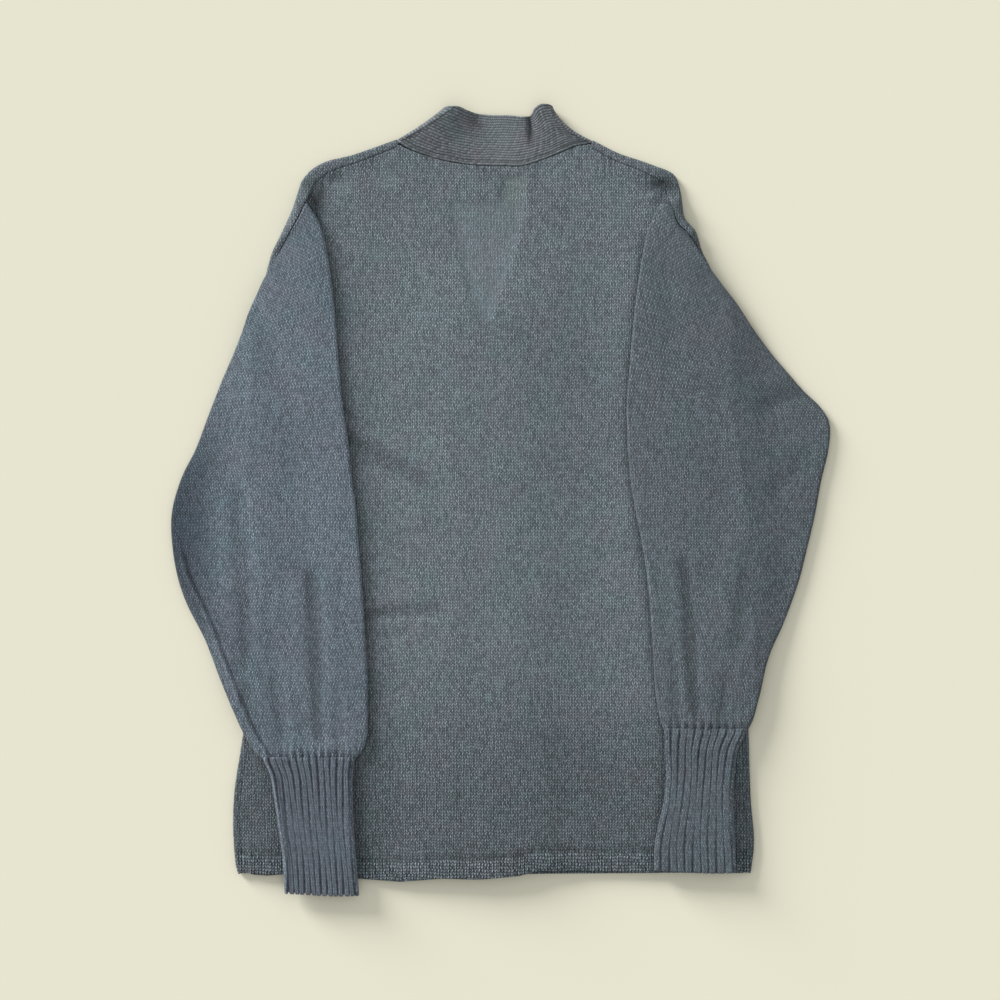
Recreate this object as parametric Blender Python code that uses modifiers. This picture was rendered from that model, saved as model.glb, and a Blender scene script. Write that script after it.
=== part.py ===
"""Letterman cardigan in heavy wool knit, laid flat with its fronts down.

The frame is +X to the right, +Y up the back and +Z up from the surface, so the
back is seen from above.  The fronts lie on the surface, their bands overlap at
the centre front on the buttons, the back lies on them, and the two sleeves are
folded in over the back.  Sizes are millimetres, turned to metres in each mesh.
"""

import math

import bmesh
import bpy
import numpy as np

MM = 0.001
MIDDLE_Y = 1.5          # middle of the outline, which becomes Y = 0

# The cloth and how its layers lie
WALL = 2.4              # thickness of the knit
SEAM = 0.3              # gap between two pieces at a seam
REST = 0.5              # gap between layers that lie on each other
LAYER = WALL + REST     # height that one layer takes up
EDGE_ROLL = LAYER / 2   # mid wall radius of a flat turned edge
OVER_BODY = 2 * LAYER + 0.1   # underside of a sleeve where it lies on the back

# The centre front and its buttons
FRONT_X = -13.0         # centre front line, seen from the back
BAND_WIDTH = 46.0
BUTTON_COUNT = 6
BUTTON_TOP_Y = 90.0
BUTTON_SPACING = 85.0
BUTTON_RADIUS = 9.0
BUTTON_HEIGHT = 2.2
BUTTON_ROOM = 2.5       # height of the outer band over its buttons
LAP_REST = 0.4          # further room between the lapped bands
LOW_HEM_Y = -356.0

# The turned edge of the fronts, which shows as a strip on the back
SIDE_STRIP = 7.0
TIP_STRIP = 12.0
NECK_STRIP = 7.0
ARM_ROLL = OVER_BODY / 2 + EDGE_ROLL   # mid wall radius where the sleeve is joined

# Hem of the back
HEM_HEIGHT = 20.0
HEM_RAISE = 0.5
HEM_GROOVE = 0.7

# Neck band
ROLL_AT_NECK = EDGE_ROLL
ROLL_AT_TOP = 5.0       # mid wall radius of the bump where the band folds over
BAND_RETURN = 8.0       # length of the neck band below its fold

# Sleeves and cuffs
ARM_SEAM = 0.8          # gap at the curved armhole seam
SLEEVE_PUFF = 1.6
RIB_COUNT = 22
RIB_HEIGHT = 1.0
CUFF_RINGS = 6

# How many steps each piece takes
SIDE_STEPS, ARM_STEPS, SHOULDER_STEPS, NECK_STEPS = 14, 6, 6, 12
PANEL_COLUMNS = 7
TURN_STEPS = 5

# Outline of the body, a row for each point, from the hem to the neck
OUTLINE_COLUMNS = ("x", "y")
LEFT_OUTLINE = {
    "side": [(-250, -355), (-253, -338), (-253, -276), (-248, -243), (-245, -223),
             (-236, -40), (-229, 100), (-223, 215)],
    "armhole": [(-223, 215), (-217, 236), (-207, 256), (-198, 276), (-193, 291), (-190, 301)],
    "shoulder": [(-190, 301), (-182, 312), (-172, 319), (-141, 328), (-101.5, 341.5)],
}
RIGHT_OUTLINE = {
    "side": [(238, -355), (241, -330), (238, -285), (236, -220), (226, -40), (212, 100), (201, 218)],
    "armhole": [(201, 218), (192, 236), (185, 256), (175, 268), (173, 280), (171, 294)],
    "shoulder": [(171, 294), (166, 308), (146, 318), (132, 323), (114, 329), (91, 341)],
}
NECK_SEAM = [(-97, 333), (-85, 331), (-61, 324), (-27, 318), (0, 317), (19, 317), (45, 325),
             (60, 331), (84.5, 332.5)]
BAND_TOP = [(-38, 373), (-28, 370), (-18, 367), (0, 366), (16, 365.5), (26, 366), (31, 371),
            (36, 374)]

# Folds of the neck band: the neck point, the bump, and the way out of the fold
LEFT_FOLD = {"neck": (-99, 342), "bump": (-49, 376), "out": (-0.562, 0.827)}
RIGHT_FOLD = {"neck": (88, 341), "bump": (45, 377), "out": (0.642, 0.767)}

# Edges of the front bands, from the hem to the neck fold
LEFT_BAND_SEAM = [(-36, LOW_HEM_Y), (-36, 66), (-43, 119), (-59, 161), (-76, 209), (-92, 271),
                  (-95, 318)]
LEFT_BAND_EDGE = [(10, LOW_HEM_Y), (10, 66), (3, 121), (-13, 171), (-31, 228), (-45, 285),
                  (-47, 332)]
RIGHT_BAND_SEAM = [(10, LOW_HEM_Y), (10, 66), (17, 109), (34, 159), (52, 226), (70, 294), (76, 318)]
RIGHT_BAND_EDGE = [(-36, LOW_HEM_Y), (-36, 66), (-29, 119), (-13, 171), (4, 237), (23, 311),
                   (31, 342)]

# Sleeve sections from the armhole to the cuff
SLEEVE_COLUMNS = ("inner x", "inner y", "outer x", "outer y")
LEFT_SLEEVE = [
    (-170, 258, -224, 211), (-164, 232, -231, 196), (-160, 205, -240, 176),
    (-157, 177, -248, 153), (-153, 125, -264, 115), (-149, 85, -279, 77), (-145, 60, -290, 48),
    (-141, 22, -303, 22), (-137, -8, -312, -8), (-135, -35, -313, -35), (-132, -70, -308, -70),
    (-130, -100, -298, -100), (-128, -135, -280, -135), (-126, -170, -266, -172),
    (-126, -200, -254, -200), (-126, -220, -244, -222), (-130, -236, -235, -237),
    (-137, -245, -227, -246),
]
RIGHT_SLEEVE = [
    (152, 280, 203, 214), (142, 262, 212, 202), (136, 240, 226, 184), (132, 215, 240, 163),
    (128, 185, 256, 141), (125, 155, 272, 122), (122, 120, 288, 104), (120, 90, 304, 88),
    (120, 70, 313, 72), (121, 45, 312, 48), (124, 15, 305, 18), (129, -15, 299, -15),
    (135, -45, 292, -45), (140, -80, 283, -80), (143, -115, 270, -115), (145, -150, 255, -150),
    (147, -180, 247, -182), (151, -205, 240, -208), (155, -219, 235, -218),
]

# Cuff sections from the seam to the edge
CUFF_COLUMNS = ("y", "inner x", "outer x")
LEFT_CUFF = [(-246, -138, -226), (-260, -140, -219), (-282, -140, -215), (-311, -139, -211),
             (-338, -137, -207), (-374, -134, -205)]
RIGHT_CUFF = [(-219, 155.5, 234), (-235, 156, 226), (-260, 157, 222), (-290, 154, 221),
              (-311, 149, 222), (-330, 146, 223), (-353, 146, 224)]

# Soft folds: from a point to a point, with a width and a depth
FOLD_COLUMNS = ("x0", "y0", "x1", "y1", "width", "depth")
BACK_FOLDS = [(-140, 57, -70, 17, 13, 1.6), (-126, -110, -66, -104, 12, 1.4)]
LEFT_SLEEVE_FOLDS = [(-246, 0, -240, -150, 16, 1.5), (-176, -95, -172, -225, 14, 1.3)]
RIGHT_SLEEVE_FOLDS = [(180, -85, 178, -205, 15, 1.4), (256, 92, 288, 108, 14, 1.2)]


def smooth(value):
    """Step from 0 to 1 that starts and ends level, 3 t squared less 2 t cubed."""
    t = np.clip(value, 0.0, 1.0)
    return t * t * (3.0 - 2.0 * t)


def along(points, steps):
    """Points at equal lengths along a broken line, steps + 1 of them."""
    line = np.array(points, dtype=float)
    run = np.concatenate([[0.0], np.cumsum(np.linalg.norm(np.diff(line, axis=0), axis=1))])
    return at_fractions(line, run, np.linspace(0.0, 1.0, steps + 1))


def at_fractions(line, run, fractions):
    """Points of a broken line at fractions of its whole length."""
    goal = np.asarray(fractions) * run[-1]
    return np.stack([np.interp(goal, run, line[:, k]) for k in range(2)], axis=1)


def fold_depth(x, y, folds):
    """How far soft troughs sink the cloth at a place, each a bell across its line."""
    sunk = np.zeros_like(x, dtype=float)
    for x0, y0, x1, y1, width, depth in folds:
        run = math.hypot(x1 - x0, y1 - y0)
        ux, uy = (x1 - x0) / run, (y1 - y0) / run
        s = (x - x0) * ux + (y - y0) * uy
        beyond = np.maximum(np.maximum(-s, s - run), 0.0)
        across = np.hypot(beyond, (y - y0) * ux - (x - x0) * uy)
        sunk = np.maximum(sunk, depth * np.exp(-((across / width) ** 2)))
    return sunk


def button_lift(x, y):
    """Height of the outer band over its buttons."""
    across = 1.0 - smooth((np.abs(x - FRONT_X) - BUTTON_RADIUS - 1.0) / (BAND_WIDTH / 2 - 10.0))
    return BUTTON_ROOM * across * smooth((BUTTON_TOP_Y + 75.0 - y) / 50.0)


def cross_lift(x, y):
    """Height of the right front where its band lies on the left band."""
    up_the_v = smooth((215.0 - y) / 40.0)
    beside = 1.0 - smooth((x - FRONT_X - BAND_WIDTH / 2) / 40.0)
    return (LAYER + LAP_REST) * up_the_v * beside


def back_floor(x, y):
    """Underside of the back: one layer up, and higher over the lapped bands."""
    across = 1.0 - smooth((np.abs(x - FRONT_X) - 14.0) / 105.0)
    ridge = (LAYER + BUTTON_ROOM + 2 * LAP_REST) * across * smooth((270.0 - y) / 120.0)
    return LAYER + ridge


def outline_stations(outline, steps=(SIDE_STEPS, ARM_STEPS, SHOULDER_STEPS)):
    """Body outline as stations, with the way out of the body at each one."""
    runs = [along(outline[name], n) for name, n in zip(("side", "armhole", "shoulder"), steps)]
    points = np.concatenate([runs[0], runs[1][1:], runs[2][1:]])
    tangent = np.gradient(points, axis=0)
    tangent /= np.linalg.norm(tangent, axis=1)[:, None]
    normal = np.stack([-tangent[:, 1], tangent[:, 0]], axis=1)
    if points[0, 0] > 0:
        normal = -normal
    return points, normal


def edge_sizes():
    """Roll radius and strip width of the turned edge at each outline station."""
    arm = np.linspace(0.0, 1.0, ARM_STEPS + 1)[1:]
    rise = smooth((arm - 0.34) / 0.16) * (1.0 - smooth((arm - 0.83) / 0.17))
    roll = np.concatenate([np.full(SIDE_STEPS + 1, EDGE_ROLL),
                           EDGE_ROLL + (ARM_ROLL - EDGE_ROLL) * rise,
                           np.full(SHOULDER_STEPS, EDGE_ROLL)])
    strip = np.concatenate([np.full(SIDE_STEPS + 1, SIDE_STRIP),
                            SIDE_STRIP + (TIP_STRIP - SIDE_STRIP) * arm,
                            np.linspace(TIP_STRIP, NECK_STRIP, SHOULDER_STEPS + 1)[1:]])
    return roll, strip


def seam_stations(outline):
    """Line where the strip of the front ends and the back begins."""
    points, normal = outline_stations(outline)
    _, strip = edge_sizes()
    return points - normal * strip[:, None], normal


def wall_object(name, outer, inner, tube, material):
    """Closed wall between an outer and an inner grid of points, in millimetres.

    Rows run along the piece.  On a tube the last column joins the first, and
    the rims close the two ends.  On a sheet the rims close all four edges.
    """
    rows, cols = outer.shape[:2]
    verts = np.concatenate([outer.reshape(-1, 3), inner.reshape(-1, 3)])
    verts = (verts - np.array([0.0, MIDDLE_Y, 0.0])) * MM
    count = rows * cols
    faces = []
    last = cols if tube else cols - 1
    for i in range(rows - 1):
        for j in range(last):
            a, b = i * cols + j, i * cols + (j + 1) % cols
            c, d = b + cols, a + cols
            faces.append((a, b, c, d))
            faces.append((count + d, count + c, count + b, count + a))
    for i in (0, rows - 1):
        for j in range(last):
            a, b = i * cols + j, i * cols + (j + 1) % cols
            faces.append((a, b, count + b, count + a))
    if not tube:
        for j in (0, cols - 1):
            for i in range(rows - 1):
                a = i * cols + j
                b = a + cols
                faces.append((a, b, count + b, count + a))
    mesh = bpy.data.meshes.new(name)
    mesh.from_pydata([tuple(v) for v in verts], [], faces)
    bm = bmesh.new()
    bm.from_mesh(mesh)
    bmesh.ops.recalc_face_normals(bm, faces=bm.faces)
    bm.to_mesh(mesh)
    bm.free()
    mesh.shade_smooth()
    mesh.set_sharp_from_angle(angle=math.radians(60))
    mesh.materials.append(material)
    obj = bpy.data.objects.new(name, mesh)
    cardigan.objects.link(obj)
    return obj


def stack(x, y, z):
    """Grid of points from three grids of numbers."""
    return np.stack([x, y, z], axis=-1)


def knit_material(name, colour, roughness):
    """Matt wool in one colour."""
    material = bpy.data.materials.new(name)
    material.use_nodes = True
    shader = material.node_tree.nodes["Principled BSDF"]
    shader.inputs["Base Color"].default_value = (*colour, 1.0)
    shader.inputs["Roughness"].default_value = roughness
    shader.inputs["Metallic"].default_value = 0.0
    return material


def front_panel(name, outline, band_seam, fold, floor, material):
    """Front: flat on the surface, then turned up and over its outline.

    Each row runs from the band seam to the outline, round the roll and back
    along the strip that shows beside the back.
    """
    points, normal = outline_stations(outline)
    roll, strip = edge_sizes()
    start = band_line(band_seam, fold, "neck")
    way = np.sign(points[0, 0])
    start = start + np.array([way * SEAM, 0.0])
    centre = points - normal * (roll + WALL / 2)[:, None]
    outer, inner = [], []
    for u in np.linspace(0.0, 1.0, PANEL_COLUMNS):
        flat = start + (centre - start) * u
        z = floor(flat[:, 0], flat[:, 1])
        outer.append(stack(flat[:, 0], flat[:, 1], z))
        inner.append(stack(flat[:, 0], flat[:, 1], z + WALL))
    for angle in np.radians(np.linspace(-90.0, 90.0, TURN_STEPS + 1))[1:]:
        for side, grid in ((WALL / 2, outer), (-WALL / 2, inner)):
            reach = (roll + side) * math.cos(angle)
            edge = centre + normal * reach[:, None]
            height = WALL / 2 + roll + (roll + side) * math.sin(angle)
            grid.append(stack(edge[:, 0], edge[:, 1], height))
    end = points - normal * np.maximum(strip, roll + WALL / 2 + 1.0)[:, None]
    outer.append(stack(end[:, 0], end[:, 1], 2 * roll + WALL))
    inner.append(stack(end[:, 0], end[:, 1], 2 * roll))
    return wall_object(name, np.stack(outer, 1), np.stack(inner, 1), False, material)


def band_line(line, fold, corner):
    """Edge of a front band, at the fractions of the outline's own stations."""
    roll = ROLL_AT_NECK if corner == "neck" else ROLL_AT_TOP
    inset = roll + WALL / 2 + BAND_RETURN + SEAM
    top = np.array(fold[corner]) - np.array(fold["out"]) * inset
    full = np.array([*line, tuple(top)], dtype=float)
    run = np.concatenate([[0.0], np.cumsum(np.linalg.norm(np.diff(full, axis=0), axis=1))])
    share = np.linspace(0.0, 1.0, SIDE_STEPS + ARM_STEPS + SHOULDER_STEPS + 1)
    return at_fractions(full, run, share)


def front_band(name, seam, edge, fold, floor, material):
    """Front band from the hem to the neck fold, beside its front panel."""
    a = band_line(seam, fold, "neck")
    b = band_line(edge, fold, "bump")
    share = (np.array([0.0, 6.5, 13.5, 23.0, 32.5, 39.5, 46.0]) / BAND_WIDTH)[None, :, None]
    plan = a[:, None, :] * (1 - share) + b[:, None, :] * share
    z = floor(plan[..., 0], plan[..., 1])
    outer = stack(plan[..., 0], plan[..., 1], z)
    inner = stack(plan[..., 0], plan[..., 1], z + WALL)
    return wall_object(name, outer, inner, False, material)


def back_panel(material):
    """Back: a sheet between the two side seams, the shoulders and the neck.

    The inside of the grid blends the two sides, then bends its rows to the hem
    and, near the top, to the shoulders and the neck.
    """
    left, left_out = seam_stations(LEFT_OUTLINE)
    right, right_out = seam_stations(RIGHT_OUTLINE)
    left, right = left - left_out * SEAM, right - right_out * SEAM
    tall = SIDE_STEPS + ARM_STEPS
    neck = along(NECK_SEAM, NECK_STEPS)
    top = np.concatenate([left[tall:-1], neck, right[tall:-1][::-1]])
    sides = [left[:tall + 1], right[:tall + 1]]
    cols = len(top)
    across = (top[:, 0] - top[0, 0]) / (top[-1, 0] - top[0, 0])
    low = np.stack([left[0, 0] + (right[0, 0] - left[0, 0]) * across,
                    np.full(cols, left[0, 1])], axis=1)
    low[:, 1] = hem_line(low[:, 0])
    hem_rows = np.array([0.0, 9.0, 17.5, HEM_HEIGHT, 22.5])
    edges = []
    for side, foot in ((sides[0], low[0]), (sides[1], low[-1])):
        body = side[2:]
        hems = np.stack([np.full(5, foot[0]), foot[1] + hem_rows], axis=1)
        edges.append(np.concatenate([hems, body]))
    a, b = edges
    rows = len(a)
    v = ((a[:, 1] - a[0, 1]) / (a[-1, 1] - a[0, 1]))[:, None, None]
    u = across[None, :, None]
    low_bend = low - (low[0] * (1 - u[0]) + low[-1] * u[0])
    top_bend = top - (top[0] * (1 - u[0]) + top[-1] * u[0])
    plan = a[:, None] * (1 - u) + b[:, None] * u + low_bend * (1 - v) + top_bend * v ** 5
    x, y = plan[..., 0], plan[..., 1]
    z = back_floor(x, y)
    sunk = np.minimum(fold_depth(x, y, BACK_FOLDS), WALL - 1.0)
    relief = np.zeros((rows, 1))
    relief[:3] = HEM_RAISE
    relief[3] = -HEM_GROOVE
    outer = stack(x, y, z + WALL - sunk + relief)
    inner = stack(x, y, z)
    return wall_object("back_panel", outer, inner, False, material)


def hem_line(x):
    """Lower edge of the back, which dips a little at the left."""
    return np.interp(x, [-250, -140, -92, -55, 16, 67, 150, 240],
                     [-355, -359, -362, -360, -356, -352, -354.5, -355])


def neck_band(material):
    """Neck band from fold to fold, rolled over a bump at each end.

    Each row is a line across the band from the neck seam to its top edge.
    The rows run up one roll, along the neck and down the other roll.
    """
    share = np.linspace(0.0, 1.0, 5)
    radius = ROLL_AT_NECK + (ROLL_AT_TOP - ROLL_AT_NECK) * share
    seam = along(NECK_SEAM, NECK_STEPS)[1:-1] + np.array([0.0, SEAM + 0.1])
    top = along(BAND_TOP, NECK_STEPS - 2)
    bump = smooth((np.abs(top[:, 0] + 3.0) - 14.0) / 30.0)
    middle_outer, middle_inner = [], []
    for s, t, high in zip(seam, top, bump):
        line = s * (1 - share[:, None]) + t * share[:, None]
        z = LAYER + (2 * ROLL_AT_TOP - LAYER) * high * share
        middle_outer.append(stack(line[:, 0], line[:, 1], z + WALL))
        middle_inner.append(stack(line[:, 0], line[:, 1], z))
    left_outer, left_inner = fold_rows(LEFT_FOLD, share, radius)
    right_outer, right_inner = fold_rows(RIGHT_FOLD, share, radius)
    outer = left_outer + middle_outer + right_outer[::-1]
    inner = left_inner + middle_inner + right_inner[::-1]
    return wall_object("neck_band", np.array(outer), np.array(inner), False, material)


def fold_rows(fold, share, radius):
    """Rows of one roll of the neck band, from its lower end to its top."""
    neck, bump, out = (np.array(fold[k], dtype=float) for k in ("neck", "bump", "out"))
    line = neck * (1 - share[:, None]) + bump * share[:, None]
    centre = line - out * (radius + WALL / 2)[:, None]
    end = centre - out * BAND_RETURN
    flat = np.zeros_like(share)
    outer = [stack(end[:, 0], end[:, 1], flat)]
    inner = [stack(end[:, 0], end[:, 1], flat + WALL)]
    for angle in np.radians(np.linspace(-90.0, 90.0, TURN_STEPS + 2)):
        for side, grid in ((WALL / 2, outer), (-WALL / 2, inner)):
            reach = (radius + side) * math.cos(angle)
            edge = centre + out * reach[:, None]
            grid.append(stack(edge[:, 0], edge[:, 1],
                              WALL / 2 + radius + (radius + side) * math.sin(angle)))
    return outer, inner


def sleeve(name, outline, sections, folds, material):
    """Sleeve as one flattened tube from the armhole seam to the cuff.

    A ring runs out along the lower layer, round the outer fold, back along the
    upper layer and round the inner fold.
    """
    seam, seam_out = seam_stations(outline)
    side, _ = outline_stations(outline)
    way = np.sign(side[0, 0])
    armhole = slice(SIDE_STEPS, SIDE_STEPS + ARM_STEPS + 1)
    arm = seam[armhole] - seam_out[armhole] * ARM_SEAM
    flat_steps = 10
    c = np.linspace(0.0, 1.0, flat_steps)
    g = 5 / 6 - c / 2
    start = np.stack([np.interp(g, np.linspace(0, 1, ARM_STEPS + 1), arm[:, k]) for k in range(2)], 1)
    first = (*start[0], *start[-1])
    rows = np.array([first, *sections], dtype=float)
    chord = start[0] * (1 - c[:, None]) + start[-1] * c[:, None]
    outer, inner = [], []
    for k, (ix, iy, ox, oy) in enumerate(rows):
        bow = (start - chord) * max(0.0, 1.0 - k / 2.0)
        swell = SLEEVE_PUFF * (0.4 + 0.6 * math.sin(math.pi * min(1.0, 0.1 + k / len(rows))))
        a, b = np.array([ix, iy]), np.array([ox, oy])
        length = np.linalg.norm(b - a)
        u = (b - a) / length
        ends = []
        for point in (a, b):
            low, high = sleeve_heights(point[0], point[1], side, way)
            ends.append((high - low) / 2)
        p = a + u * (ends[0] + WALL / 2)
        q = b - u * (ends[1] + WALL / 2)
        plan = p * (1 - c[:, None]) + q * c[:, None] + bow
        low, high = sleeve_heights(plan[:, 0], plan[:, 1], side, way)
        room = swell * np.sin(math.pi * c) ** 0.8
        sunk = np.minimum(fold_depth(plan[:, 0], plan[:, 1], folds), room)
        high = high + room - sunk
        ring_out, ring_in = [], []
        for j in range(flat_steps):
            ring_out.append((*plan[j], low[j] - WALL / 2))
            ring_in.append((*plan[j], low[j] + WALL / 2))
        add_turn(ring_out, ring_in, plan[-1], u, low[-1], high[-1], -90.0, 90.0)
        for j in range(flat_steps - 1, -1, -1):
            ring_out.append((*plan[j], high[j] + WALL / 2))
            ring_in.append((*plan[j], high[j] - WALL / 2))
        add_turn(ring_out, ring_in, plan[0], -u, low[0], high[0], 90.0, -90.0)
        outer.append(ring_out)
        inner.append(ring_in)
    return wall_object(name, np.array(outer), np.array(inner), True, material)


def add_turn(ring_out, ring_in, centre, out, low, high, start, end):
    """Points of the turn at one edge of a flattened tube, between its layers."""
    radius, mid = (high - low) / 2, (high + low) / 2
    for angle in np.radians(np.linspace(start, end, 5))[1:-1]:
        for side, ring in ((WALL / 2, ring_out), (-WALL / 2, ring_in)):
            place = centre + out * (radius + side) * math.cos(angle)
            ring.append((*place, mid + (radius + side) * math.sin(angle)))


def sleeve_heights(x, y, side, way):
    """Mid wall heights of the lower and upper layer of a sleeve.

    Over the body both are level.  Past its side edge they come down to the
    surface, the lower layer sooner than the upper.
    """
    beyond = way * (x - np.interp(y, side[:SIDE_STEPS + ARM_STEPS, 1],
                                  side[:SIDE_STEPS + ARM_STEPS, 0]))
    low = OVER_BODY * (1.0 - smooth((beyond - 6.0) / 28.0)) + WALL / 2
    high = OVER_BODY * (1.0 - smooth(beyond / 50.0)) + WALL / 2 + LAYER
    return low, np.maximum(high, low + LAYER)


def cuff(name, sections, material):
    """Ribbed cuff: a flat tube whose outer points rise into ribs.

    The mid line of a ring is a stadium, two straight runs and two half circles.
    """
    table = np.array(sections, dtype=float)
    y = np.linspace(table[0, 0], table[-1, 0], CUFF_RINGS)
    inner_x = np.interp(-y, -table[:, 0], table[:, 1])
    outer_x = np.interp(-y, -table[:, 0], table[:, 2])
    per_rib = 4
    count = RIB_COUNT * per_rib
    profile = np.tile([0.0, 1.0, 1.0, 0.0], RIB_COUNT) * RIB_HEIGHT
    low_z = OVER_BODY + RIB_HEIGHT + WALL / 2
    outer, inner = [], []
    for yk, xi, xo in zip(y, inner_x, outer_x):
        radius = EDGE_ROLL
        half = abs(xo - xi) / 2 - radius - WALL / 2 - RIB_HEIGHT
        mid = (xo + xi) / 2
        s = (np.arange(count) + 0.5) / count * (4 * half + 2 * math.pi * radius)
        x, z, nx, nz = stadium(s, half, radius)
        reach = WALL / 2 + profile
        rows = np.full(count, yk)
        outer.append(stack(mid + x + nx * reach, rows, low_z + radius + z + nz * reach))
        inner.append(stack(mid + x - nx * WALL / 2, rows, low_z + radius + z - nz * WALL / 2))
    return wall_object(name, np.array(outer), np.array(inner), True, material)


def stadium(s, half, radius):
    """Place and outward direction at a length s round a stadium, from its lower left."""
    turn = math.pi * radius
    x, z, nx, nz = (np.zeros_like(s) for _ in range(4))
    lower = s < 2 * half
    right = (s >= 2 * half) & (s < 2 * half + turn)
    upper = (s >= 2 * half + turn) & (s < 4 * half + turn)
    left = s >= 4 * half + turn
    x[lower], z[lower], nz[lower] = s[lower] - half, -radius, -1.0
    angle = (s[right] - 2 * half) / radius - math.pi / 2
    nx[right], nz[right] = np.cos(angle), np.sin(angle)
    x[right], z[right] = half + radius * np.cos(angle), radius * np.sin(angle)
    x[upper], z[upper], nz[upper] = half - (s[upper] - 2 * half - turn), radius, 1.0
    angle = (s[left] - 4 * half - turn) / radius + math.pi / 2
    nx[left], nz[left] = np.cos(angle), np.sin(angle)
    x[left], z[left] = -half + radius * np.cos(angle), radius * np.sin(angle)
    return x, z, nx, nz


def button(index, material):
    """Round button, its face on the surface, turned from a profile with a Screw."""
    name = f"button_{index + 1}"
    profile = [(0.0, BUTTON_HEIGHT), (BUTTON_RADIUS - 1.2, BUTTON_HEIGHT),
               (BUTTON_RADIUS, BUTTON_HEIGHT * 0.55), (BUTTON_RADIUS - 0.5, 0.0),
               (BUTTON_RADIUS - 2.2, 0.0), (BUTTON_RADIUS - 3.0, 0.6), (0.0, 0.6)]
    mesh = bpy.data.meshes.new(name)
    verts = [(x * MM, 0.0, z * MM) for x, z in profile]
    mesh.from_pydata(verts, [(k, k + 1) for k in range(len(verts) - 1)], [])
    mesh.materials.append(material)
    obj = bpy.data.objects.new(name, mesh)
    button_y = BUTTON_TOP_Y - BUTTON_SPACING * index - MIDDLE_Y
    obj.location = (FRONT_X * MM, button_y * MM, 0.0)
    cardigan.objects.link(obj)
    screw = obj.modifiers.new("turned", "SCREW")
    screw.steps = 20
    screw.render_steps = 20
    screw.use_merge_vertices = True
    screw.merge_threshold = 0.00001
    return obj


for old in list(bpy.data.objects):
    bpy.data.objects.remove(old, do_unlink=True)

cardigan = bpy.data.collections.new("letterman_cardigan")
bpy.context.scene.collection.children.link(cardigan)

body_wool = knit_material("body_wool", (0.122, 0.152, 0.175), 0.9)
rib_wool = knit_material("rib_wool", (0.098, 0.122, 0.142), 0.92)
band_wool = knit_material("band_wool", (0.128, 0.148, 0.168), 0.9)
horn = knit_material("horn", (0.05, 0.045, 0.04), 0.45)


def left_front_floor(x, y):
    """The left front lies on the surface."""
    return np.zeros_like(x)


def right_front_floor(x, y):
    """The right front rises onto the left band."""
    return cross_lift(x, y) + button_lift(x, y)


front_panel("front_left_panel", LEFT_OUTLINE, LEFT_BAND_SEAM, LEFT_FOLD, left_front_floor, body_wool)
front_panel("front_right_panel", RIGHT_OUTLINE, RIGHT_BAND_SEAM, RIGHT_FOLD, right_front_floor,
            body_wool)
front_band("front_band_left", LEFT_BAND_SEAM, LEFT_BAND_EDGE, LEFT_FOLD, button_lift, band_wool)
front_band("front_band_right", RIGHT_BAND_SEAM, RIGHT_BAND_EDGE, RIGHT_FOLD, right_front_floor,
           band_wool)
back_panel(body_wool)
neck_band(band_wool)
sleeve("sleeve_left", LEFT_OUTLINE, LEFT_SLEEVE, LEFT_SLEEVE_FOLDS, body_wool)
sleeve("sleeve_right", RIGHT_OUTLINE, RIGHT_SLEEVE, RIGHT_SLEEVE_FOLDS, body_wool)
cuff("cuff_left", LEFT_CUFF, rib_wool)
cuff("cuff_right", RIGHT_CUFF, rib_wool)
for number in range(BUTTON_COUNT):
    button(number, horn)
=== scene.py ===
# %% [markdown]
# # A letterman cardigan, laid flat with its back up
#
# The garment is heavy grey-blue wool, knitted in stockinette with ribbed cuffs.
# It lies on its fronts, its two sleeves are folded in over the back, and the
# neck band stands up behind the neck and rolls over at both ends.
#
# Each piece here is a thin closed wall of cloth on the form of its solid, with
# the finer shape that the solid leaves out: rounded edges, puckers along the
# seams, soft creases and real ribs.  The stitches are too many to model, so
# they are colour and bump that follow each piece's own UV map.

# %% Load the frame
import collections
import functools
import math

import bmesh
import bpy
import numpy as np
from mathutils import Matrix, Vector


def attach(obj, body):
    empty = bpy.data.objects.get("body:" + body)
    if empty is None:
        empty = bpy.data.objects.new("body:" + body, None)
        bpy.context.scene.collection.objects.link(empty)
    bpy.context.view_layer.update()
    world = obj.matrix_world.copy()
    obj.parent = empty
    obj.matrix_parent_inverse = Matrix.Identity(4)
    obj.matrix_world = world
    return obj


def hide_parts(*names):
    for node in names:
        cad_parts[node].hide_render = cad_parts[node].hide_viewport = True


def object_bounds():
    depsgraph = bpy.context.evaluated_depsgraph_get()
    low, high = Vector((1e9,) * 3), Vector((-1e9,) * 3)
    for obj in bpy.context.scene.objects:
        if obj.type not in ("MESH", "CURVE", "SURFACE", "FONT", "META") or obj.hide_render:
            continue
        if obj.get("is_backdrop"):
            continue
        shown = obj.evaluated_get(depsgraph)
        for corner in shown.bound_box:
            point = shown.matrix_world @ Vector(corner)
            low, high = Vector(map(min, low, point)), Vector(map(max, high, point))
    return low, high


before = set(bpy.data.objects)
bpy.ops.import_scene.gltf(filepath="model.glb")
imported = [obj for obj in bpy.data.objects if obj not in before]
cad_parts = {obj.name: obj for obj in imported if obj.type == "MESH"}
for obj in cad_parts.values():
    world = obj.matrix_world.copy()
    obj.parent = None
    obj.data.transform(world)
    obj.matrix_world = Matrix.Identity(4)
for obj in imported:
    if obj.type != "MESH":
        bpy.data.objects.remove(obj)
cad_box = [list(corner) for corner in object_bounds()]
print("solids:", len(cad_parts), "box in mm:", [[round(1000 * c) for c in p] for p in cad_box])

# %% [markdown]
# ## Sizes of the cloth
#
# A laid garment is a stack of layers, so most heights come from two numbers:
# the wall of the knit and the room between two layers.  They could be read off
# the solids, but named values say why a layer is where it is.  All sizes here
# are millimetres, and the mesh helper turns them into metres.

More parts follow.
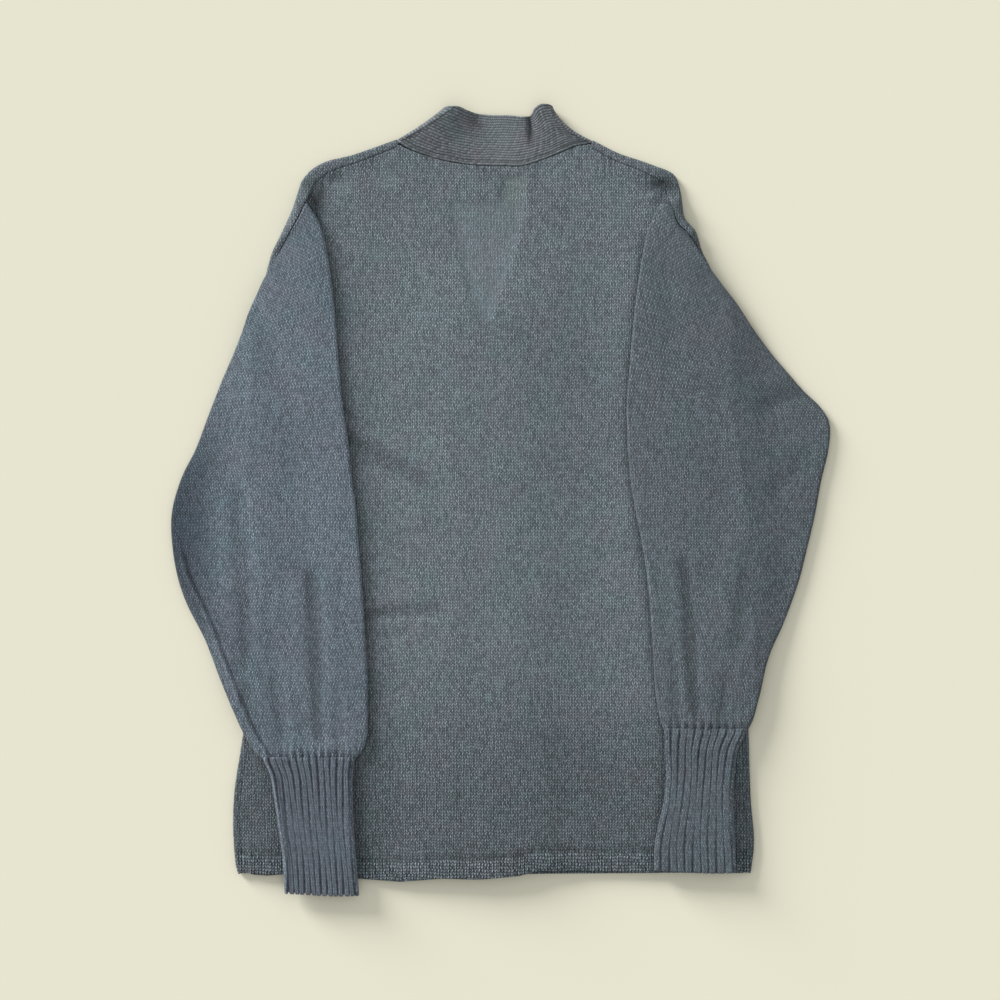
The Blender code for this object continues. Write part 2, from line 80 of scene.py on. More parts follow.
# %% Sizes of the cloth
MM = 0.001
MIDDLE_Y = 1.5                # middle of the outline, which is Y = 0 in the frame
WALL = 2.4                    # thickness of the knit
HALF = WALL / 2
LAYER = WALL + 0.5            # one layer with the room above it
SEAM = 0.3                    # gap between two pieces at a seam
RIM_STEPS = np.array([0.0, 0.12, 0.4, 0.8, 1.3])  # places of the points that round a cut edge
THINNEST = 0.12               # share of the wall that is left at a cut edge
EDGE_ROLL = LAYER / 2         # mid wall radius of a flat turned edge
OVER_BODY = 2 * LAYER + 0.1   # underside of a sleeve where it lies on the back
ARM_ROLL = OVER_BODY / 2 + EDGE_ROLL
WALE = 3.2                    # width of one stitch
COURSE = 2.9                  # height of one stitch
print("layer", LAYER, "mm, gauge", round(100 / WALE), "stitches in 10 cm")

# %% [markdown]
# ## Curves through a few points
#
# The outline of cloth is smooth, but nobody wants a table of two hundred
# points.  Blender's own Bezier curves would do, yet a numpy function gives the
# points as an array that a grid can use at once.  `flow` is a cubic Hermite
# curve: between two points it blends both places and both slopes.

# %% Curve helpers


def smooth(value):
    """Step from 0 to 1 that starts and ends level: 3 t squared less 2 t cubed."""
    t = np.clip(value, 0.0, 1.0)
    return t * t * (3.0 - 2.0 * t)


def bell(distance, width):
    """Hump of height 1: e to the power of minus distance over width, squared."""
    return np.exp(-((distance / width) ** 2))


def read(table, at):
    """Straight lines through the pairs of a table, read at a place."""
    return np.interp(at, *np.array(table, dtype=float).T)


def run_of(points):
    """Length along a broken line at each of its points."""
    steps = np.linalg.norm(np.diff(np.asarray(points, dtype=float), axis=0), axis=1)
    return np.concatenate([[0.0], np.cumsum(steps)])


def hermite(points, marks, goal):
    """Cubic curve through points that stand at marks, read at each goal.

    With t from 0 to 1 between two points, the place is
    (2t^3 - 3t^2 + 1) P0 + (t^3 - 2t^2 + t) h M0 + (3t^2 - 2t^3) P1 + (t^3 - t^2) h M1.
    """
    p = np.asarray(points, dtype=float)
    slope = np.gradient(p, marks, axis=0)
    k = np.clip(np.searchsorted(marks, goal, side="right") - 1, 0, len(marks) - 2)
    h = (marks[k + 1] - marks[k])[:, None]
    t = ((goal - marks[k]) / (marks[k + 1] - marks[k]))[:, None]
    return ((2 * t**3 - 3 * t**2 + 1) * p[k] + (t**3 - 2 * t**2 + t) * h * slope[k]
            + (3 * t**2 - 2 * t**3) * p[k + 1] + (t**3 - t**2) * h * slope[k + 1])


def flow(points, share):
    """Smooth curve through points, read at shares of its length."""
    marks = run_of(points)
    return hermite(points, marks, np.asarray(share, dtype=float) * marks[-1])


def quarter_circle(depth):
    """Wall left at a depth of 0 to 1 from an edge: the root of 1 less (1 - depth) squared."""
    return np.maximum(np.sqrt(1.0 - (1.0 - depth) ** 2), THINNEST)


def with_rims(length, step):
    """Shares along a length with extra ones at both ends, and the wall left at each.

    The wall thins to nothing on a quarter circle, so a cut edge looks rolled.
    """
    middle = np.linspace(RIM_STEPS[-1], length - RIM_STEPS[-1], max(2, int(length / step)))
    s = np.concatenate([RIM_STEPS[:-1], middle, (length - RIM_STEPS[:-1])[::-1]])
    depth = np.clip(np.minimum(s, length - s) / HALF, 0.0, 1.0)
    return s / length, quarter_circle(depth)


print("flow through three points:", flow([(0, 0), (10, 5), (20, 0)], [0.0, 0.5, 1.0]).round(1).tolist())

# %% [markdown]
# ## One mesh builder for all the cloth
#
# Every piece is a grid of points for its outer face and one for its inner
# face.  Solidify could add the second face, but here the two faces differ, as
# ribs stand on a plain inside.  The faces are index arrays, so there is no loop
# over points, and bmesh turns them all outwards at the end.

# %% Mesh builder


def grid_faces(rows, cols, tube):
    """Corner numbers of the squares of a grid, whose last column joins the first on a tube."""
    i = np.arange(rows - 1)[:, None] * cols
    j = np.arange(cols if tube else cols - 1)[None, :]
    k = (j + 1) % cols
    return np.stack([i + j, i + k, i + k + cols, i + j + cols], axis=-1).reshape(-1, 4)


def rim_faces(line, count):
    """Squares that join a line of outer points to the same inner points."""
    a, b = line[:-1], line[1:]
    return np.stack([a, b, b + count, a + count], axis=-1)


def cloth(name, outer, inner, across, along, tube=False, shade=None):
    """Closed wall between two grids of points, with a UV map in metres of cloth.

    across and along are the cloth's own lengths at each point, or one row or one
    column of them.  On a tube they have one more column, for the seam where the
    pattern starts again.
    """
    rows, cols = outer.shape[:2]
    count = rows * cols
    points = np.concatenate([outer.reshape(-1, 3), inner.reshape(-1, 3)])
    points = (points - np.array([0.0, MIDDLE_Y, 0.0])) * MM
    sheet = grid_faces(rows, cols, tube)
    ids = np.arange(count).reshape(rows, cols)
    ends = [np.append(line, line[0]) if tube else line for line in (ids[0], ids[-1])]
    sides = [] if tube else [ids[:, 0], ids[:, -1]]
    rims = [rim_faces(line, count) for line in ends + sides]
    mesh = bpy.data.meshes.new(name)
    faces = np.concatenate([sheet, sheet[:, ::-1] + count, *rims])
    mesh.from_pydata(points.tolist(), [], faces.tolist())
    mesh.update()
    close_up(mesh)
    across, along = np.broadcast_arrays(across, along)
    add_map(mesh, across * MM, along * MM, rows, cols, tube)
    tone = np.ones((2 * count, 4), dtype=np.float32)
    if shade is not None:
        tone[:, :shade.shape[-1]] = np.concatenate([shade.reshape(count, -1)] * 2)
    layer = mesh.color_attributes.new("tone", "FLOAT_COLOR", "POINT")
    layer.data.foreach_set("color", tone.ravel())
    mesh.shade_smooth()
    return add_object(name, mesh)


def add_object(name, data):
    """Object with its mesh, lamp or camera, put in the scene."""
    made = bpy.data.objects.new(name, data)
    bpy.context.scene.collection.objects.link(made)
    return made


def close_up(mesh, merge=0.0):
    """Merges points that are nearer than a distance, and turns all faces outwards."""
    bm = bmesh.new()
    bm.from_mesh(mesh)
    if merge > 0.0:
        bmesh.ops.remove_doubles(bm, verts=bm.verts, dist=merge)
    bmesh.ops.recalc_face_normals(bm, faces=bm.faces)
    bm.to_mesh(mesh)
    bm.free()


def add_map(mesh, across, along, rows, cols, tube):
    """UV map from the grid: each corner of a face looks up its row and its column."""
    corner = np.empty(len(mesh.loops), dtype=np.int64)
    mesh.loops.foreach_get("vertex_index", corner)
    corner %= rows * cols
    row, col = corner // cols, corner % cols
    if tube:
        start = np.empty(len(mesh.polygons), dtype=np.int64)
        mesh.polygons.foreach_get("loop_start", start)
        four = col.reshape(-1, 4)
        wraps = (four.max(axis=1) == cols - 1) & (four.min(axis=1) == 0)
        four[wraps] = np.where(four[wraps] == 0, cols, four[wraps])
        col = four.reshape(-1)
    uv = np.stack([across[row, col], along[row, col]], axis=-1).astype(np.float32)
    mesh.uv_layers.new(name="cloth").data.foreach_set("uv", uv.ravel())


def stack(x, y, z):
    """Grid of points from three grids of numbers."""
    return np.stack(np.broadcast_arrays(x, y, z), axis=-1)


def add_pair(outer, inner, place, middle, half):
    """Adds a line of points to each face, half a wall over and under the middle."""
    outer.append(stack(place[:, 0], place[:, 1], middle + half))
    inner.append(stack(place[:, 0], place[:, 1], middle - half))


print("mesh builder ready")

# %% [markdown]
# ## The body's outline and its layers
#
# The fronts lie on the surface and their edge rolls up and over, so a strip of
# front shows beside the back.  The roll is flat along the side and the
# shoulder, and it rises at the armhole, where the folded sleeve is sewn on.
# The outline is read by a number q: 0 at the hem, 1 where the armhole starts,
# 2 at the shoulder tip and 3 at the neck.

# %% Outline tables, in millimetres
OUTLINES = {
    "left": {
        "side": [(-249.5, -356), (-251.3, -350), (-252.8, -338), (-253, -276), (-248, -243), (-245, -223),
                 (-236, -40), (-229, 100), (-223, 215)],
        "armhole": [(-217, 236), (-207, 256), (-198, 276), (-193, 291), (-190, 301)],
        "shoulder": [(-182, 312), (-172, 319), (-141, 328), (-98.8, 342.7)],
    },
    "right": {
        "side": [(238, -355), (241, -330), (238, -285), (236, -220), (226, -40), (212, 100),
                 (201, 218)],
        "armhole": [(192, 236), (185, 256), (175, 268), (173, 280), (171, 294)],
        "shoulder": [(166, 308), (146, 318), (132, 323), (114, 329), (87.8, 341.9)],
    },
}
WAY = {"left": -1.0, "right": 1.0}
NECK_SEAM = [(-96.8, 337.5), (-87, 332.6), (-75, 328.4), (-61, 324), (-27, 318), (0, 317),
             (19, 317), (45, 325), (60, 331), (72, 336), (85.4, 338.4)]
HEM_X = [-243, -234, -222, -206, -140, -95, -55, -20, 18, 28, 38, 56, 71, 95, 132, 240]
HEM_Y = [-354, -356.5, -357.3, -356, -360, -363, -359.5, -360.5, -357, -354.2, -352.2, -352.5, -351.8,
         -353.2, -354.4, -355]
STRIP_WIDTHS = [(0.0, 7.0), (1.0, 7.0), (1.5, 7.2), (1.8, 9.5), (2.0, 13.0), (2.2, 12.5),
                (2.5, 9.0), (3.0, 7.0)]


def outline(hand, q):
    """Places on the body's outline and the way out of the body there."""
    table = OUTLINES[hand]
    points = [*table["side"], *table["armhole"], *table["shoulder"]]
    marks = run_of(points)
    joints = np.cumsum([0, len(table["side"]) - 1, len(table["armhole"]), len(table["shoulder"])])
    fine = hermite(points, marks, np.linspace(0.0, marks[-1], 1200))
    s = np.linspace(0.0, marks[-1], 1200)
    goal = np.interp(q, [0, 1, 2, 3], marks[joints])
    slope = np.gradient(fine, s, axis=0)
    slope /= np.linalg.norm(slope, axis=1)[:, None]
    out = np.stack([slope[:, 1], -slope[:, 0]], axis=1) * WAY[hand]
    window = np.ones(31) / 31
    places = [np.interp(goal, s, fine[:, n]) for n in range(2)]
    ways = []
    for n in range(2):
        padded = np.pad(out[:, n], 15, mode="edge")
        ways.append(np.interp(goal, s, np.convolve(padded, window, mode="valid")))
    return np.stack(places, axis=1), np.stack(ways, axis=1)


def edge_sizes(q):
    """Roll radius and strip width of the turned edge."""
    g = q - 1.0
    rise = smooth((g - 0.34) / 0.16) * (1.0 - smooth((g - 0.83) / 0.17))
    roll = EDGE_ROLL + (ARM_ROLL - EDGE_ROLL) * rise
    strip = read(STRIP_WIDTHS, q)
    return roll, strip


def seam_line(hand, q, gap):
    """Line where the strip of the front ends, moved in by a gap."""
    points, out = outline(hand, q)
    return points - out * (edge_sizes(q)[1] + gap)[:, None]


left_ends = outline("left", np.array([0.0, 3.0]))[0]
print("left outline from", left_ends[0].round(), "to", left_ends[1].round())

# %% [markdown]
# ## How high each layer lies
#
# The lapped bands lie on the buttons, so the back rises a little over them in
# one long soft ridge.  Past the body's side a sleeve comes down to the
# surface, its lower layer sooner than its upper one.  Heights are functions of
# the place, so that pieces that touch agree on them.

# %% Heights
FRONT_X = -13.0
BAND_WIDTH = 46.0
BUTTON_ROOM = 2.5
BUTTON_TOP_Y = 90.0
BUTTON_RADIUS = 9.0
LAP_REST = 0.4


def button_lift(x, y):
    """Height of the outer band over its buttons."""
    across = 1.0 - smooth((np.abs(x - FRONT_X) - BUTTON_RADIUS - 1.0) / (BAND_WIDTH / 2 - 10.0))
    return BUTTON_ROOM * across * smooth((BUTTON_TOP_Y + 75.0 - y) / 50.0)


def right_floor(x, y):
    """Underside of the right front, whose band lies on the left band."""
    beside = 1.0 - smooth((x - FRONT_X - BAND_WIDTH / 2) / 40.0)
    return (LAYER + LAP_REST) * smooth((215.0 - y) / 40.0) * beside + button_lift(x, y)


def back_floor(x, y):
    """Underside of the back: one layer up, and higher over the lapped bands."""
    across = 1.0 - smooth((np.abs(x - FRONT_X) - 14.0) / 105.0)
    return LAYER + (LAYER + BUTTON_ROOM + 2 * LAP_REST) * across * smooth((270.0 - y) / 120.0)


def sleeve_heights(x, y, hand):
    """Mid wall heights of the lower and the upper layer of a sleeve."""
    side, _ = outline(hand, np.linspace(0.0, 2.0, 160))
    beyond = WAY[hand] * (x - np.interp(y, side[:, 1], side[:, 0]))
    low = OVER_BODY * (1.0 - smooth((beyond - 6.0) / 28.0)) + HALF
    high = OVER_BODY * (1.0 - smooth(beyond / 50.0)) + HALF + LAYER
    return low, np.maximum(high, low + LAYER)


print("back lies", LAYER, "to", round(float(back_floor(FRONT_X, 0.0)), 1), "mm up")

# %% [markdown]
# ## Creases and puckers
#
# Laid knitwear has a few soft troughs, and small gathers where a seam is
# tighter than the cloth.  A cloth simulation would make its own, in other
# places than the ones that show, so they are listed one by one.  A crease is a
# trough with a ridge beside it, along a line from point to point.

# %% Creases
# Each row: from x and y, to x and y, width, depth.
BACK_CREASES = [(-140, 57, -72, 18, 9, 1.5), (-126, -110, -66, -104, 7, 1.4),
                (-148, 86, -128, 72, 5, 0.8), (-140, 38, -104, 26, 6, 0.7),
                (-124, -128, -92, -124, 6, 0.7), (100, -60, 70, -96, 14, 0.5),
                (-20, -150, 40, -190, 20, 0.5), (-90, 250, -60, 150, 22, 0.4),
                (96, 230, 84, 120, 20, 0.4), (60, -250, 66, -330, 12, 0.5),
                (-30, -270, -36, -340, 12, 0.5), (-100, -240, -96, -330, 14, 0.5),
                (166, 306, 143, 285, 3.4, -1.3), (-183, 300, -170, 262, 4.0, 1.0)]
LEFT_CREASES = [(-249, 0, -242, -140, 9, 1.6), (-178, -80, -171, -220, 8, 1.5),
                (-206, 60, -196, -60, 20, 0.5), (-214, -180, -206, -236, 7, 0.8),
                (-190, -190, -186, -240, 6, 0.8), (-156, -190, -154, -238, 6, 0.7),
                (-236, 170, -214, 120, 10, 0.5), (-262, -120, -240, -190, 8, 0.8)]
RIGHT_CREASES = [(174, -62, 186, -200, 6, 1.5), (188, -80, 184, -150, 10, 0.5),
                 (256, 92, 288, 108, 10, 1.0), (232, -58, 226, -130, 9, 0.8), (200, 30, 196, -60, 20, 0.4),
                 (212, -170, 210, -214, 6, 0.7), (164, -150, 168, -212, 6, 0.7),
                 (150, 210, 156, 130, 12, 0.5), (286, 40, 262, 10, 9, 0.6)]


def creases(x, y, table):
    """Soft troughs less a shallow ridge on each side, in millimetres.

    s is the way along a crease and side the way off it, so a trough is a bell of side
    that fades past both ends.
    """
    sunk = np.zeros(np.broadcast(x, y).shape)
    for x0, y0, x1, y1, width, depth in table:
        run = math.hypot(x1 - x0, y1 - y0)
        s = ((x - x0) * (x1 - x0) + (y - y0) * (y1 - y0)) / run
        side = ((y - y0) * (x1 - x0) - (x - x0) * (y1 - y0)) / run
        fade = bell(np.maximum(np.maximum(-s, s - run), 0.0), 1.6 * width)
        bend = side - 0.12 * width * np.sin(s / run * 5.0)
        sunk += depth * fade * (bell(bend, width) - 0.35 * bell(np.abs(bend) - 1.7 * width, width))
    return sunk


def gathers(along_seam, from_seam, pitch, reach, height, seed):
    """Uneven waves along a seam that die away from it."""
    s = along_seam + 0.35 * pitch * np.sin(along_seam / pitch * 1.3 + seed)
    wave = np.cos(2 * math.pi * s / pitch) * (0.65 + 0.35 * np.sin(s / pitch * 0.9 + 2 * seed))
    return height * wave * np.exp(-np.maximum(from_seam, 0.0) / reach)


print(len(BACK_CREASES) + len(LEFT_CREASES) + len(RIGHT_CREASES), "creases placed")

# %% [markdown]
# ## Back
#
# The back is one panel.  Its grid blends the two side seams, and bends its rows
# to the hem below and to the shoulders and the neck above.  The hem is turned
# up once, so it stands higher below a row of stitches that pulls a groove.

# %% Back
BACK_LENGTH = 690.0
ARMHOLE_START = 0.855         # share of the side seam where the armhole starts
SHOULDER_COLUMNS = 54
NECK_COLUMNS = 90
HEM_HEIGHT = 20.0
HEM_RISE = 0.55
HEM_GROOVE = 1.3
DEEPEST = -1.7                # no dent goes through the wall
V_LEFT = [(164, -13), (178, -21), (196, -29), (215, -35), (237, -39), (258, -46), (285, -51)]
V_RIGHT = [(164, -13), (178, -7), (200, 3), (222, 9), (244, 16), (280, 25), (308, 25)]


def back_plan():
    """Grid of places: two sides blended across, bent to the hem and to the top."""
    share, thin_rows = with_rims(BACK_LENGTH, 4.0)
    q = np.interp(share, [0.0, ARMHOLE_START, 1.0], [0.0, 1.0, 2.0])
    a, b = seam_line("left", q, 0.1), seam_line("right", q, 0.1)
    over = np.linspace(2.0, 2.97, SHOULDER_COLUMNS)
    neck = flow(NECK_SEAM, np.linspace(0.0, 1.0, NECK_COLUMNS))
    top = np.concatenate([seam_line("left", over, SEAM), neck,
                          seam_line("right", over, SEAM)[::-1]])
    u = (top[:, 0] - top[0, 0]) / (top[-1, 0] - top[0, 0])
    foot = a[0, 0] + (b[0, 0] - a[0, 0]) * u
    low = np.stack([foot, np.interp(foot, HEM_X, HEM_Y)], axis=1)
    low[0], low[-1] = a[0], b[0]
    v = ((a[:, 1] - a[0, 1]) / (a[-1, 1] - a[0, 1]))[:, None, None]
    u = u[None, :, None]
    low_bend = low - (low[0] * (1 - u[0]) + low[-1] * u[0])
    top_bend = top - (top[0] * (1 - u[0]) + top[-1] * u[0])
    plan = a[:, None] * (1 - u) + b[:, None] * u + low_bend * (1 - v) + top_bend * v**5
    return plan, thin_rows


def above_hem(x, y):
    """Height above the lower edge of the body."""
    return y - np.interp(x, HEM_X, HEM_Y)


def hem_relief(x, y):
    """Turned hem: a raised band, a groove above it and small puckers in both."""
    up = above_hem(x, y)
    band = HEM_RISE * (1.0 - smooth((up - HEM_HEIGHT + 3.0) / 3.0))
    groove = HEM_GROOVE * bell(up - HEM_HEIGHT, 1.8)
    pucker = gathers(x, np.abs(up - HEM_HEIGHT), 11.0, 7.0, 0.35, 1.0)
    ribs = 0.16 * np.cos(2 * math.pi * x / 6.4) * (1.0 - smooth((up - HEM_HEIGHT) / 4.0))
    return band - groove + pucker + ribs


def in_the_v(x, y):
    """1 inside the V of the neck, 0 outside, with a soft edge."""
    inside = np.minimum(x - read(V_LEFT, y), read(V_RIGHT, y) - x)
    top = 286.0 + 25.0 * smooth((x + 1.0) / 4.0)
    return smooth((inside + 2.0) / 6.0) * smooth((top - y) / 6.0)


plan, thin_rows = back_plan()
x, y = plan[..., 0], plan[..., 1]
cols = plan.shape[1]
from_neck = read(NECK_SEAM, x) - y
below_neck = (np.abs(x + 6.0) < 110.0) * gathers(x, from_neck, 6.5, 6.0, 0.7, 2.0)
shoulder_y = np.interp(x, [-170, -141, -100, 84, 112, 146], [303, 317, 334, 333, 320, 306])
at_shoulder = gathers(x, shoulder_y - y, 4.6, 12.0, 0.8, 0.4) * smooth((np.abs(x + 6) - 90) / 20)
hollow = sum(1.6 * bell(np.hypot((x - at_x) / stretch, y - at_y), 9.0)
             for at_x, at_y, stretch in ((-158, 301, 1.6), (152, 299, 1.0)))
relief = (hem_relief(x, y) - creases(x, y, BACK_CREASES) + below_neck + at_shoulder - hollow
          - in_the_v(x, y))
rim = np.minimum(np.arange(cols), np.arange(cols)[::-1])
thin = thin_rows[:, None] * np.interp(rim, [0, 1], [0.8, 1.0])[None, :]
middle = back_floor(x, y) + HALF
back_outer = stack(x, y, middle + HALF * thin + np.maximum(relief, DEEPEST) * thin)
back_inner = stack(x, y, middle - HALF * thin)
print("back grid", back_outer.shape[:2])

# %% [markdown]
# ## Tone of the wool
#
# Much of this tone is painted light and shade.  Light comes through the single
# layer in the V, the lower back is painted darker as the light falls off there,
# the cuffs are darker, the right sleeve and cuff are painted darker and the left
# sleeve lighter, and the left sleeve leans to blue.  Creases, hollows, folds,
# pleats and the back beside the sleeves get painted shade.
# This could be painted as an image, but a few soft steps by place are enough.
# They are kept in the colour attribute "tone", which the material multiplies.
# Its alpha says how strongly the stitches show there.

# %% Tone by place
LEFT_INNER = [(-374, -134), (-246, -137), (-236, -130), (-220, -126), (-170, -126), (-100, -130),
              (-35, -135), (22, -141), (85, -149), (177, -157), (232, -164), (258, -170)]
RIGHT_INNER = [(-353, 146), (-290, 154), (-219, 155), (-150, 145), (-80, 140), (-15, 129), (45, 121),
               (120, 122), (185, 128), (240, 136), (262, 142), (280, 152)]
LEFT_OUTER = [(-374, -205), (-338, -207), (-311, -211), (-282, -215), (-260, -219), (-246, -227),
              (-220, -244)]
RIGHT_OUTER = [(-353, 224), (-290, 221), (-260, 222), (-235, 226), (-219, 234)]


def tint(strength, colour):
    """Multiplier that goes from white to a colour or a grey by a strength of 0 to 1."""
    return 1.0 + strength[..., None] * (np.array(colour) - 1.0)


def darken(tone, *marks):
    """Tone times one tint for each mark, a strength by place and the grey it leads to."""
    for strength, grey in marks:
        tone = tone * tint(strength, grey)
    return tone


def shadow_beside_sleeves(x, y):
    """1 right beside a fold of a sleeve or cuff, fading over a few millimetres: where painted shadow falls
    on the body.
    """
    near = np.zeros(np.broadcast(x, y).shape)
    for edge, strength in ((LEFT_INNER, 0.7), (RIGHT_INNER, 1.0), (LEFT_OUTER, 0.6), (RIGHT_OUTER, 0.2)):
        away = x - read(edge, y)
        near = np.maximum(near, strength * bell(away, 4.4) * smooth((260.0 - y) / 20.0))
    return near


def body_tone(x, y):
    """Tone of the body: paler V, painted shade on the low back, a little painted shade in the creases, and
    more in the hollows and beside the sleeves.
    """
    # Painted light: the V and the patch at its top are paler, as light comes through the single layer
    # there.
    light = in_the_v(x, y)
    tone = tint(light, (0.92, 0.92, 0.92))
    patch = light * smooth(x / 4.0) * smooth((y - 268.0) / 26.0)
    tone = tone * tint(patch, (1.06, 1.07, 0.98))
    strand = bell(x + 14.0 + 0.16 * (y - 230.0), 2.2) * bell((y - 240.0) / 26.0, 1.0)
    beside = bell(x - 27.0 - 0.28 * (y - 285.0), 3.0) * smooth((y - 250.0) / 30.0)
    tone = tone * tint(strand + 0.6 * beside, (0.82, 0.82, 0.84))
    # Painted shade: the back grows darker towards the bottom, as the light falls off there.
    low = smooth((-120.0 - y) / 180.0)
    up = above_hem(x, y)
    hem = bell(up - HEM_HEIGHT, 1.6)
    # Painted shade in the first five back creases, in the hollows at both shoulders, on the right shoulder
    # tip and beside the sleeves' folds.
    dents = np.clip(creases(x, y, BACK_CREASES[:5]), 0, 1)
    left_hollow = bell(np.hypot((x + 174.0) / 8.0, (y - 287.0) / 18.0), 1.0)
    right_hollow = bell(np.hypot((x - 154.0) / 11.0, (y - 300.0) / 8.5), 1.0)
    right_tip = bell(np.hypot((x - 167.0) / 8.0, (y - 283.0) / 14.0), 1.0)
    tone = darken(tone, (low, 0.87), (hem, 0.74), (dents, 0.78), (left_hollow, 0.27),
                  (right_tip, 0.66), (right_hollow, 0.22), (shadow_beside_sleeves(x, y), 0.62))
    below_hem = smooth((HEM_HEIGHT - up) / 2.0)
    tone = tone * (1.0 + 0.44 * below_hem)[..., None]
    contrast = (1.0 - 0.30 * light + 0.16 * low + 0.30 * below_hem)[..., None]
    return np.concatenate([tone, contrast], axis=-1)


back_tone = body_tone(x, y)
# Painted shade in the troughs between the gathers below the neck and along the shoulders.
PLEAT_SHADE = 0.45
shade_between_pleats = np.clip(-below_neck - at_shoulder, 0.0, 0.8)
back_tone[..., :3] *= tint(shade_between_pleats, PLEAT_SHADE)
back = cloth("back", back_outer, back_inner, x, y, shade=back_tone)
print("back faces", len(back.data.polygons))

# %% [markdown]
# ## Fronts
#
# Each front is a half panel from its band to the outline.  There its grid goes
# on round a half circle and ends in the strip that shows beside the back.
# A Solidify on a bent sheet would do too, but the wall would then cross itself
# inside the tight roll, so both faces are given their own radius.

# %% Fronts
BAND_SEAMS = {"left": [(-36, -356), (-36, 66), (-43, 119), (-59, 161), (-76, 209), (-92, 271),
                       (-95, 318), (-92.8, 333)],
              "right": [(10, -356), (10, 66), (17, 109), (34, 159), (52, 226), (70, 294),
                        (76, 318), (81, 332.6)]}
FRONT_LENGTH = 800.0          # from the hem up the side and along the shoulder
FRONT_SHARES = [0.0, 0.715, 0.83, 1.0]  # shares of it at q of 0, 1, 2 and 3
UNDER_COLUMNS = 34            # columns of the part that lies on the surface
ROLL_COLUMNS = 8              # columns of the roll that are darkened
# Painted shade on the rolled edges of the fronts and the outer folds of the sleeves.
FOLD_SHADE = 0.74
STRIP_SHADE = 0.88
FLOORS = {"left": lambda x, y: np.zeros_like(x), "right": right_floor}
FRONT_CREASES = [(-210, 120, -120, 60, 15, 1.0), (-196, -60, -90, -84, 14, 0.8),
                 (-150, -190, -138, -330, 16, 0.7), (178, 150, 96, 92, 15, 1.0),
                 (190, -30, 92, -70, 16, 0.8), (120, -210, 132, -335, 15, 0.7)]


def front_tone(x, y):
    """Tone of a front: a low part painted darker, painted shade in shallow creases, and a hem."""
    up = above_hem(x, y)
    tone = darken(np.ones((*x.shape, 3)), (smooth((-120.0 - y) / 180.0), 0.9),
                  (bell(up - HEM_HEIGHT, 2.6), 0.78),
                  (np.clip(creases(x, y, FRONT_CREASES), 0, 1), 0.84))
    contrast = (1.0 + 0.3 * smooth((HEM_HEIGHT - up) / 2.0))[..., None]
    return np.concatenate([tone, contrast], axis=-1)


def front(hand):
    """Front panel: flat from the band, round the roll and back along the strip."""
    share, thin_rows = with_rims(FRONT_LENGTH, 3.4)
    q = np.interp(share, FRONT_SHARES, [0.0, 1.0, 2.0, 3.0])
    points, out = outline(hand, q)
    roll, strip = edge_sizes(q)
    start = flow(BAND_SEAMS[hand], share) + np.array([WAY[hand] * SEAM, 0.0])
    centre = points - out * (roll + HALF)[:, None]
    outer, inner = [], []
    for u in np.linspace(0.0, 1.0, UNDER_COLUMNS):
        flat = start + (centre - start) * u
        dents = np.clip(creases(flat[:, 0], flat[:, 1], FRONT_CREASES), 0, 1)
        floor = FLOORS[hand](flat[:, 0], flat[:, 1]) + HALF + 0.4 * dents * smooth((1 - u) / 0.2)
        thin = HALF * thin_rows * (0.35 if u == 0.0 else 1.0)
        add_pair(outer, inner, flat, floor, -thin)
    for angle in np.radians(np.linspace(-90.0, 90.0, 11))[1:]:
        for half, grid in ((HALF, outer), (-HALF, inner)):
            edge = centre + out * ((roll + half) * math.cos(angle))[:, None]
            grid.append(stack(edge[:, 0], edge[:, 1],
                              HALF + roll + (roll + half * thin_rows) * math.sin(angle)))
    reach = np.maximum(strip, roll + HALF + 1.0) - roll - HALF
    top = HALF + 2 * roll
    open_seam = smooth((q - 1.0) / 0.3)
    for part, dip in ((0.25, 0.0), (0.5, 0.0), (0.75, 0.0), (0.93, 0.25), (1.0, 0.7)):
        thin = 1.0 - dip * (0.25 + 0.75 * open_seam)
        end = centre - out * (reach * part)[:, None]
        add_pair(outer, inner, end, top, HALF * thin * thin_rows)
    outer, inner = np.stack(outer, 1), np.stack(inner, 1)
    shade = body_tone(outer[..., 0], outer[..., 1])
    under = outer[:, :UNDER_COLUMNS]
    shade[:, :UNDER_COLUMNS] = front_tone(under[..., 0], under[..., 1])
    strip_start = UNDER_COLUMNS + ROLL_COLUMNS
    # Painted shade on the roll; the strip beside it is made a little darker.
    shade[:, UNDER_COLUMNS:strip_start, :3] *= FOLD_SHADE
    shade[:, strip_start:, :3] *= STRIP_SHADE
    return cloth(f"{hand}_front", outer, inner, outer[..., 0], outer[..., 1], shade=shade)


fronts = {hand: front(hand) for hand in ("left", "right")}
print("front faces", [len(p.data.polygons) for p in fronts.values()])

# %% [markdown]
# ## Bands
#
# One long band runs up the left front, round the neck and down the right
# front.  It is knitted along its length, so its fine lines follow it.  Behind
# the neck it stands up past the seam, and it rolls over a bump at each end.
# The rows of the neck part go round each roll on a half circle whose radius
# grows from the neck point to the bump.

# %% Front bands
BAND_EDGES = {"left": [(10, -356), (10, 66), (3, 121), (-13, 171), (-31, 228), (-45, 285),
                       (-47, 332), (-40.7, 363.8)],
              "right": [(-36, -356), (-36, 66), (-29, 119), (-13, 171), (4, 237), (23, 311),
                        (31, 342), (35.5, 365.7)]}
BAND_LENGTH = 720.0


